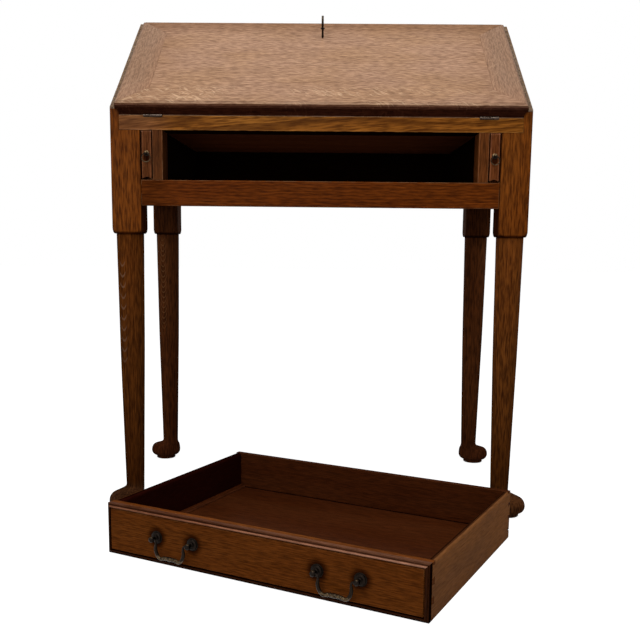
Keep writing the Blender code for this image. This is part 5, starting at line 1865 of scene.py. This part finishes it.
@dataclass
class Drawer:
    """The dovetailed drawer, its cock beads and its two handles."""

    post_out: float = 0.0135
    bead_w: float = 0.0070
    bead_depth: float = 0.010
    bead_round: float = 0.0020
    bead_step: float = 0.0030
    bead_proud: float = 0.0008
    bead_steps: int = 14
    rose_r: float = 0.0102
    rose_t: float = 0.0045
    # Stepped rim of the rose, as shares of its rise and radius
    rose_rim: tuple[Pair, ...] = ((0.22, 1.0), (0.30, 0.97), (0.32, 0.88), (0.42, 0.86))
    rose_crown: float = 0.48
    rose_steps: int = 8
    # Collar on the rose: rise, and radius as a share of the post's
    collar: tuple[Pair, ...] = ((0.0002, 1.3), (0.0008, 1.42), (0.0015, 1.3), (0.0019, 1.0))
    post_r: float = 0.0030
    post_ball_r: float = 0.0048
    post_ball_steps: int = 16
    # Painted glint on each post's ball
    post_rubbed: float = 0.8
    post_eye_r: float = 0.0019
    spread: float = 0.068
    # Reach of the painted contact shadow and grime round each post
    dirt_r: float = 0.022
    sides: int = 48
    peg_r: float = 0.0014
    bar_r: float = 0.0027
    bar_from: float = 0.55
    bar_half: float = 0.0060
    knop_r: float = 0.0036
    knop_half: float = 0.0034
    ring_rise: float = 0.0007
    ring_half: float = 0.0011
    ring_places: Pair = (0.0062, 0.0108)
    drop: float = 0.0280
    lift: float = 0.0022
    bail_rubbed: Pair = (0.02, 0.35)
    bail_rubbed_from: float = 0.80
    bail_rubbed_fade: float = 0.006
    # Bail's arm: way in from the post, and share of the drop
    arm: tuple[Pair, ...] = (
        (-0.0015, 0.0), (0.0045, 0.0), (0.0077, 0.07), (0.0082, 0.24), (0.0076, 0.48), (0.0092, 0.72),
        (0.0130, 0.92), (0.0175, 1.0), (0.0220, 0.95))
    arm_steps: int = 10
    front_arris: float = 0.0003
    arris: float = 0.0004
    edge_depth: float = 0.0006
    foot_depth: float = 0.001
    slip_depth: float = 0.0012
    gap_h: float = 0.0022
    # Painted light on the front's top face, painted shade on the sides' top edges and inner faces
    front_edge_shade: Colour = (1.35, 1.4, 1.6, 1.0)
    side_edge_shade: Colour = (0.28, 0.24, 0.26, 1.0)
    inner_shades: dict[Hand, Colour] = field(
        default_factory=lambda: {Hand.LEFT: (0.09, 0.035, 0.06, 1.0), Hand.RIGHT: (0.22, 0.17, 0.17, 1.0)})
    seat: Seat = field(init=False)

    def __post_init__(self) -> None:
        """Place the drawer's seat on the floor under its front face, from its joints' places and axes."""
        x = -Vector(joint_vector("bail_left_swing", "axis"))
        y = -Vector(joint_vector("drawer_slide", "axis"))
        pivots = [Vector(joint_vector(f"bail_{hand.word}_swing", "pos_m")) for hand in Hand]
        origin = (pivots[0] + pivots[1]) / 2 + y * self.post_out
        origin.z = 0.0
        self.seat = Seat(tuple(origin), tuple(x.normalized()), tuple(y.normalized()))

    def pivot(self, hand: Hand) -> Vector:
        """Return a bail's pivot in the drawer's seat."""
        return self.seat.matrix.inverted() @ Vector(joint_vector(f"bail_{hand.word}_swing", "pos_m"))

    def build(self) -> None:
        """Build and dress the drawer."""
        posts = [self.seat.matrix @ (self.pivot(hand) + Vector((end * self.spread / 2, 0, 0)))
                 for hand in Hand for end in BOTH]
        front = replace(DRAWER_OAK, spots=tuple(Spot(tuple(post), self.dirt_r) for post in posts),
                        # Painted shade on the front's inner face, painted light on its top face
                        sides=(Side(Way.THROUGH, -1, DIM_SHADE, self.foot_depth),
                               Side(Way.ACROSS, 1, self.front_edge_shade, self.edge_depth)))
        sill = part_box("drawer_bottom")[1].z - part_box("drawer_back")[0].z
        # Painted shadow along the foot of the drawer's back
        gap = Side(Way.ACROSS, -1, GAP_SHADOW, sill + self.gap_h)
        edge = Side(Way.ACROSS, 1, self.side_edge_shade, self.edge_depth)
        boards = [Board("drawer_front", front, Grain.RAIL, self.front_arris),
                  Board("drawer_back", replace(INSIDE_OAK, sides=(gap,)), Grain.RAIL, self.arris),
                  Board("drawer_bottom", INSIDE_OAK, Grain.BED)]
        for hand in Hand:
            # Painted shade on the sides' inner faces
            inner = Side(Way.THROUGH, -hand.value, self.inner_shades[hand])
            oak = replace(DRAWER_SIDE_OAK, sides=(inner, edge))
            boards.append(Board(f"drawer_side_{hand.word}", oak, Grain.SIDE, self.arris))
        for hand in Hand:
            # Painted highlight on the slips' inner faces
            oak = replace(SLIP_OAK, sides=(Side(Way.THROUGH, -hand.value, PALE_WEAR_AND_HIGHLIGHT, self.slip_depth),))
            boards.append(Board(f"drawer_slip_{hand.word}", oak, Grain.SIDE))
        for board in boards:
            board.dress("drawer", self.seat)
        self.beads()
        for hand in Hand:
            self.handle(hand)

    def bead_section(self) -> list[Pair]:
        """Return the bead's section: way in from the drawer's edge, and depth behind the drawer's face.

        Returns:
            Pairs of way in and depth.
        """
        middle, radius = self.bead_w - self.bead_round, self.bead_round
        section = [(self.bead_w, self.bead_depth)]
        for step in range(self.bead_steps + 1):
            angle = math.pi * step / self.bead_steps
            section.append((middle + radius * math.cos(angle),
                            radius - self.bead_proud - radius * math.sin(angle)))
        return section + [(middle - radius, self.bead_step), (0.0, self.bead_step), (0.0, self.bead_depth)]

    def beads(self) -> None:
        """Mould the four mitred strips of cock bead."""
        high = corners(self.seat.spots("cock_bead_top"))[1]
        half, height, gap = high.x + SEAM / 2, high.z, SEAM / 2
        section = self.bead_section()
        for place, side in (("top", 1), ("bottom", -1)):
            rings = [[(end * (half - part - gap), depth, height - part if side > 0 else part)
                      for part, depth in section] for end in BOTH]
            self.bead(place, rings, Grain.RAIL)
        for hand in Hand:
            rings = [[(hand.value * (half - part), depth, height - part - gap if end > 0 else part + gap)
                      for part, depth in section] for end in BOTH]
            self.bead(hand.word, rings, Grain.POST)

    def bead(self, place: str, rings: Sequence[Sequence[Point]], grain: Grain) -> None:
        """Make one strip of cock bead.

        Args:
            place: Edge of the drawer front that it runs along.
            rings: Its two mitred ends.
            grain: How it lies.
        """
        node = f"cock_bead_{place}"
        finish = TOP_BEAD_OAK if place == "top" else BEAD_OAK
        BENCH.hand_over(f"{node}_strip", skin(node, rings, self.seat), "drawer", finish, [node],
                        self.seat.lay(grain))

    def handle(self, hand: Hand) -> None:
        """Turn two posts and bend the bail between them.

        Args:
            hand: Side of the drawer that the handle is on.
        """
        pivot = self.pivot(hand)
        for number, end in enumerate(BOTH, 1 if hand is Hand.LEFT else 3):
            place = pivot.x + end * self.spread / 2
            node = f"handle_post_{number}"
            eye = (place, -self.post_out, pivot.z)
            mesh = eyed_post(node, self.post_profile(), self.sides, (place, 0, pivot.z), eye,
                             self.post_ball_r + OVER, self.post_eye_r, self.seat)
            # Painted glint near the top of the ball
            glint = self.seat.matrix @ Vector(eye) + Vector((0, 0, self.post_ball_r))
            mark_rubbed(mesh, lambda spot: max(0.0, self.post_rubbed
                                               - (spot - glint).length / self.post_ball_r))
            BENCH.hand_over(f"{node}_brass", mesh, "drawer", BRASS, [node])
        path, girths = self.bail_line()
        seat = replace(self.seat, origin=tuple(self.seat.matrix @ pivot))
        node = f"bail_{hand.word}"
        mesh = bar(node, path, girths, BRASS, seat)
        level = seat.origin[2] - self.drop * self.bail_rubbed_from
        least, most = self.bail_rubbed
        mark_rubbed(mesh, lambda spot: min(most, max(least, (level - spot.z) / self.bail_rubbed_fade)))
        BENCH.hand_over(f"{node}_brass", mesh, node, BRASS, [node])

    def post_profile(self) -> list[Pair]:
        """Return the profile of a post: stepped and domed rose, collar, neck and ball.

        Returns:
            Pairs of distance along the post and radius.
        """
        rose, rise = self.rose_r, self.rose_t
        profile = [(SEAM, rose)] + [(rise * up, rose * out) for up, out in self.rose_rim]
        up, out = self.rose_rim[-1]
        for angle in quarter(self.rose_steps)[1:]:
            profile.append((rise * (up + (1 - up) * math.sin(angle)),
                            rose * (self.rose_crown + (out - self.rose_crown) * math.cos(angle))))
        profile += [(rise + up, self.post_r * share) for up, share in self.collar]
        return profile + ball(self.post_out, self.post_ball_r, self.post_r, self.post_ball_steps)

    def bail_line(self) -> tuple[list[Vector], list[float]]:
        """Return the bail's middle line about its pivot, and its radius along it.

        Returns:
            Points of the line, and the radius at each.
        """
        reach = self.spread / 2
        arm = [(reach - inward, 0, -share * self.drop) for inward, share in self.arm]
        level = self.lift - self.drop
        arm.append((self.bar_half, 0, level))
        route = [(-x, y, z) for x, y, z in arm] + [(0, 0, level)] + list(reversed(arm))
        path = smooth_path(route, self.arm_steps)
        girths = []
        for spot in path:
            full = min(1, -spot.z / (self.drop * self.bar_from))
            girth = self.peg_r + (self.bar_r - self.peg_r) * ease(full)
            if spot.z < -self.drop / 2:
                girth += (self.knop_r - self.bar_r) * math.exp(-(spot.x / self.knop_half) ** 2)
                girth += self.ring_rise * sum(math.exp(-((abs(spot.x) - place) / self.ring_half) ** 2)
                                              for place in self.ring_places)
            girths.append(girth)
        return path, girths


@dataclass
class Studio:
    """Camera at the photograph's place, soft lamps, pale world and white floor."""

    lens: float = 49.268
    sensor: float = 36.0
    shift: Pair = (0.0087, 0.0739)
    eye: Point = (0.0189, -1.56738, 0.51349)
    pitch: float = 8.5267
    yaw: float = -0.91036
    roll: float = 0.58894
    floor_half: float = 12.0
    floor_grey: float = 0.45
    floor_glow: float = 0.93
    ambient: float = 0.26

    def build(self) -> None:
        """Build camera, lamps, world and floor."""
        self.camera()
        self.lamp("overhead_softbox", place=(0.0, -0.55, 2.75), aim=(0.0, 0.10, 0.45), size=(2.4, 1.8),
                  power=36.0)
        self.lamp("front_fill", place=(-0.9, -3.2, 1.7), aim=(0.0, 0.0, 0.45), size=(2.4, 2.0), power=30.0)
        self.world()
        self.floor()
        bpy.context.scene.view_settings.view_transform = "Standard"

    def camera(self) -> None:
        """Add the camera and make it the scene's."""
        pitch, yaw, roll = (math.radians(angle) for angle in (self.pitch, self.yaw, self.roll))
        ahead = Vector((math.sin(yaw) * math.cos(pitch), math.cos(yaw) * math.cos(pitch), -math.sin(pitch)))
        level = Vector((math.cos(yaw), -math.sin(yaw), 0))
        up = level.cross(ahead)
        right = math.cos(roll) * level + math.sin(roll) * up
        head = math.cos(roll) * up - math.sin(roll) * level
        data = bpy.data.cameras.new("camera")
        data.lens = self.lens
        data.sensor_width = self.sensor
        data.shift_x, data.shift_y = self.shift
        camera = placed("camera", data)
        turn = Matrix((right, head, -ahead)).transposed()
        camera.matrix_world = Matrix.Translation(self.eye) @ turn.to_4x4()
        bpy.context.scene.camera = camera

    @staticmethod
    def lamp(name: str, place: Point, aim: Point, size: Pair, power: float) -> None:
        """Add one soft rectangular lamp.

        Args:
            name: Name of the lamp.
            place: Where it hangs.
            aim: Point that it faces.
            size: Its width and depth.
            power: Its power in watts.
        """
        data = bpy.data.lights.new(name, "AREA")
        data.shape = "RECTANGLE"
        data.size, data.size_y = size
        data.energy = power
        lamp = placed(name, data)
        lamp.location = place
        lamp.rotation_euler = (Vector(aim) - Vector(place)).to_track_quat("-Z", "Y").to_euler()

    @staticmethod
    def seen(graph: Graph) -> Socket:
        """Return 1 for rays that see the background: camera, glossy and transmission rays.

        Args:
            graph: Where nodes are added.

        Returns:
            The ray's socket.
        """
        path = graph.add("ShaderNodeLightPath")
        mirror = graph.math("MAXIMUM", path.outputs["Is Glossy Ray"], path.outputs["Is Transmission Ray"])
        return graph.math("MAXIMUM", path.outputs["Is Camera Ray"], mirror)

    def world(self) -> None:
        """Make the world white to look at and dimmer as a light."""
        world = bpy.data.worlds.new("studio")
        bpy.context.scene.world = world
        world.use_nodes = True
        graph = Graph(world.node_tree)
        back = world.node_tree.nodes["Background"]
        back.inputs["Color"].default_value = (1.0, 1.0, 1.0, 1.0)
        strength = graph.step(self.seen(graph), 0.0, 1.0, (self.ambient, 1.0))
        world.node_tree.links.new(strength, back.inputs["Strength"])

    def floor(self) -> None:
        """Add the white floor, which keeps the object's shadow."""
        half = self.floor_half
        mesh = bpy.data.meshes.new("floor")
        mesh.from_pydata([(-half, -half, 0), (half, -half, 0), (half, half, 0), (-half, half, 0)], [],
                         [(0, 1, 2, 3)])
        floor = placed("floor", mesh)
        material, graph, _ = blank_material("floor")
        material.node_tree.nodes.clear()
        matt = graph.out("ShaderNodeBsdfDiffuse", {"Color": (self.floor_grey,) * 3 + (1.0,)})
        glow = graph.out("ShaderNodeEmission", {"Strength": self.floor_glow})
        bright = graph.out("ShaderNodeAddShader", {0: matt, 1: glow})
        mixed = graph.out("ShaderNodeMixShader", {0: self.seen(graph), 1: matt, 2: bright})
        graph.add("ShaderNodeOutputMaterial", {"Surface": mixed})
        mesh.materials.append(material)


def main() -> None:
    """Build the studio and every sub-assembly."""
    logging.basicConfig(level=logging.INFO, format="%(message)s")
    for assembly in (Studio(), TurnedLegs(), Carcass(), Fall(), Lock(), Lopers(), Drawer()):
        LOG.info("building %s", type(assembly).__name__)
        assembly.build()
    LOG.info("%d pieces", BENCH.count)


if __name__ == "__main__":
    main()
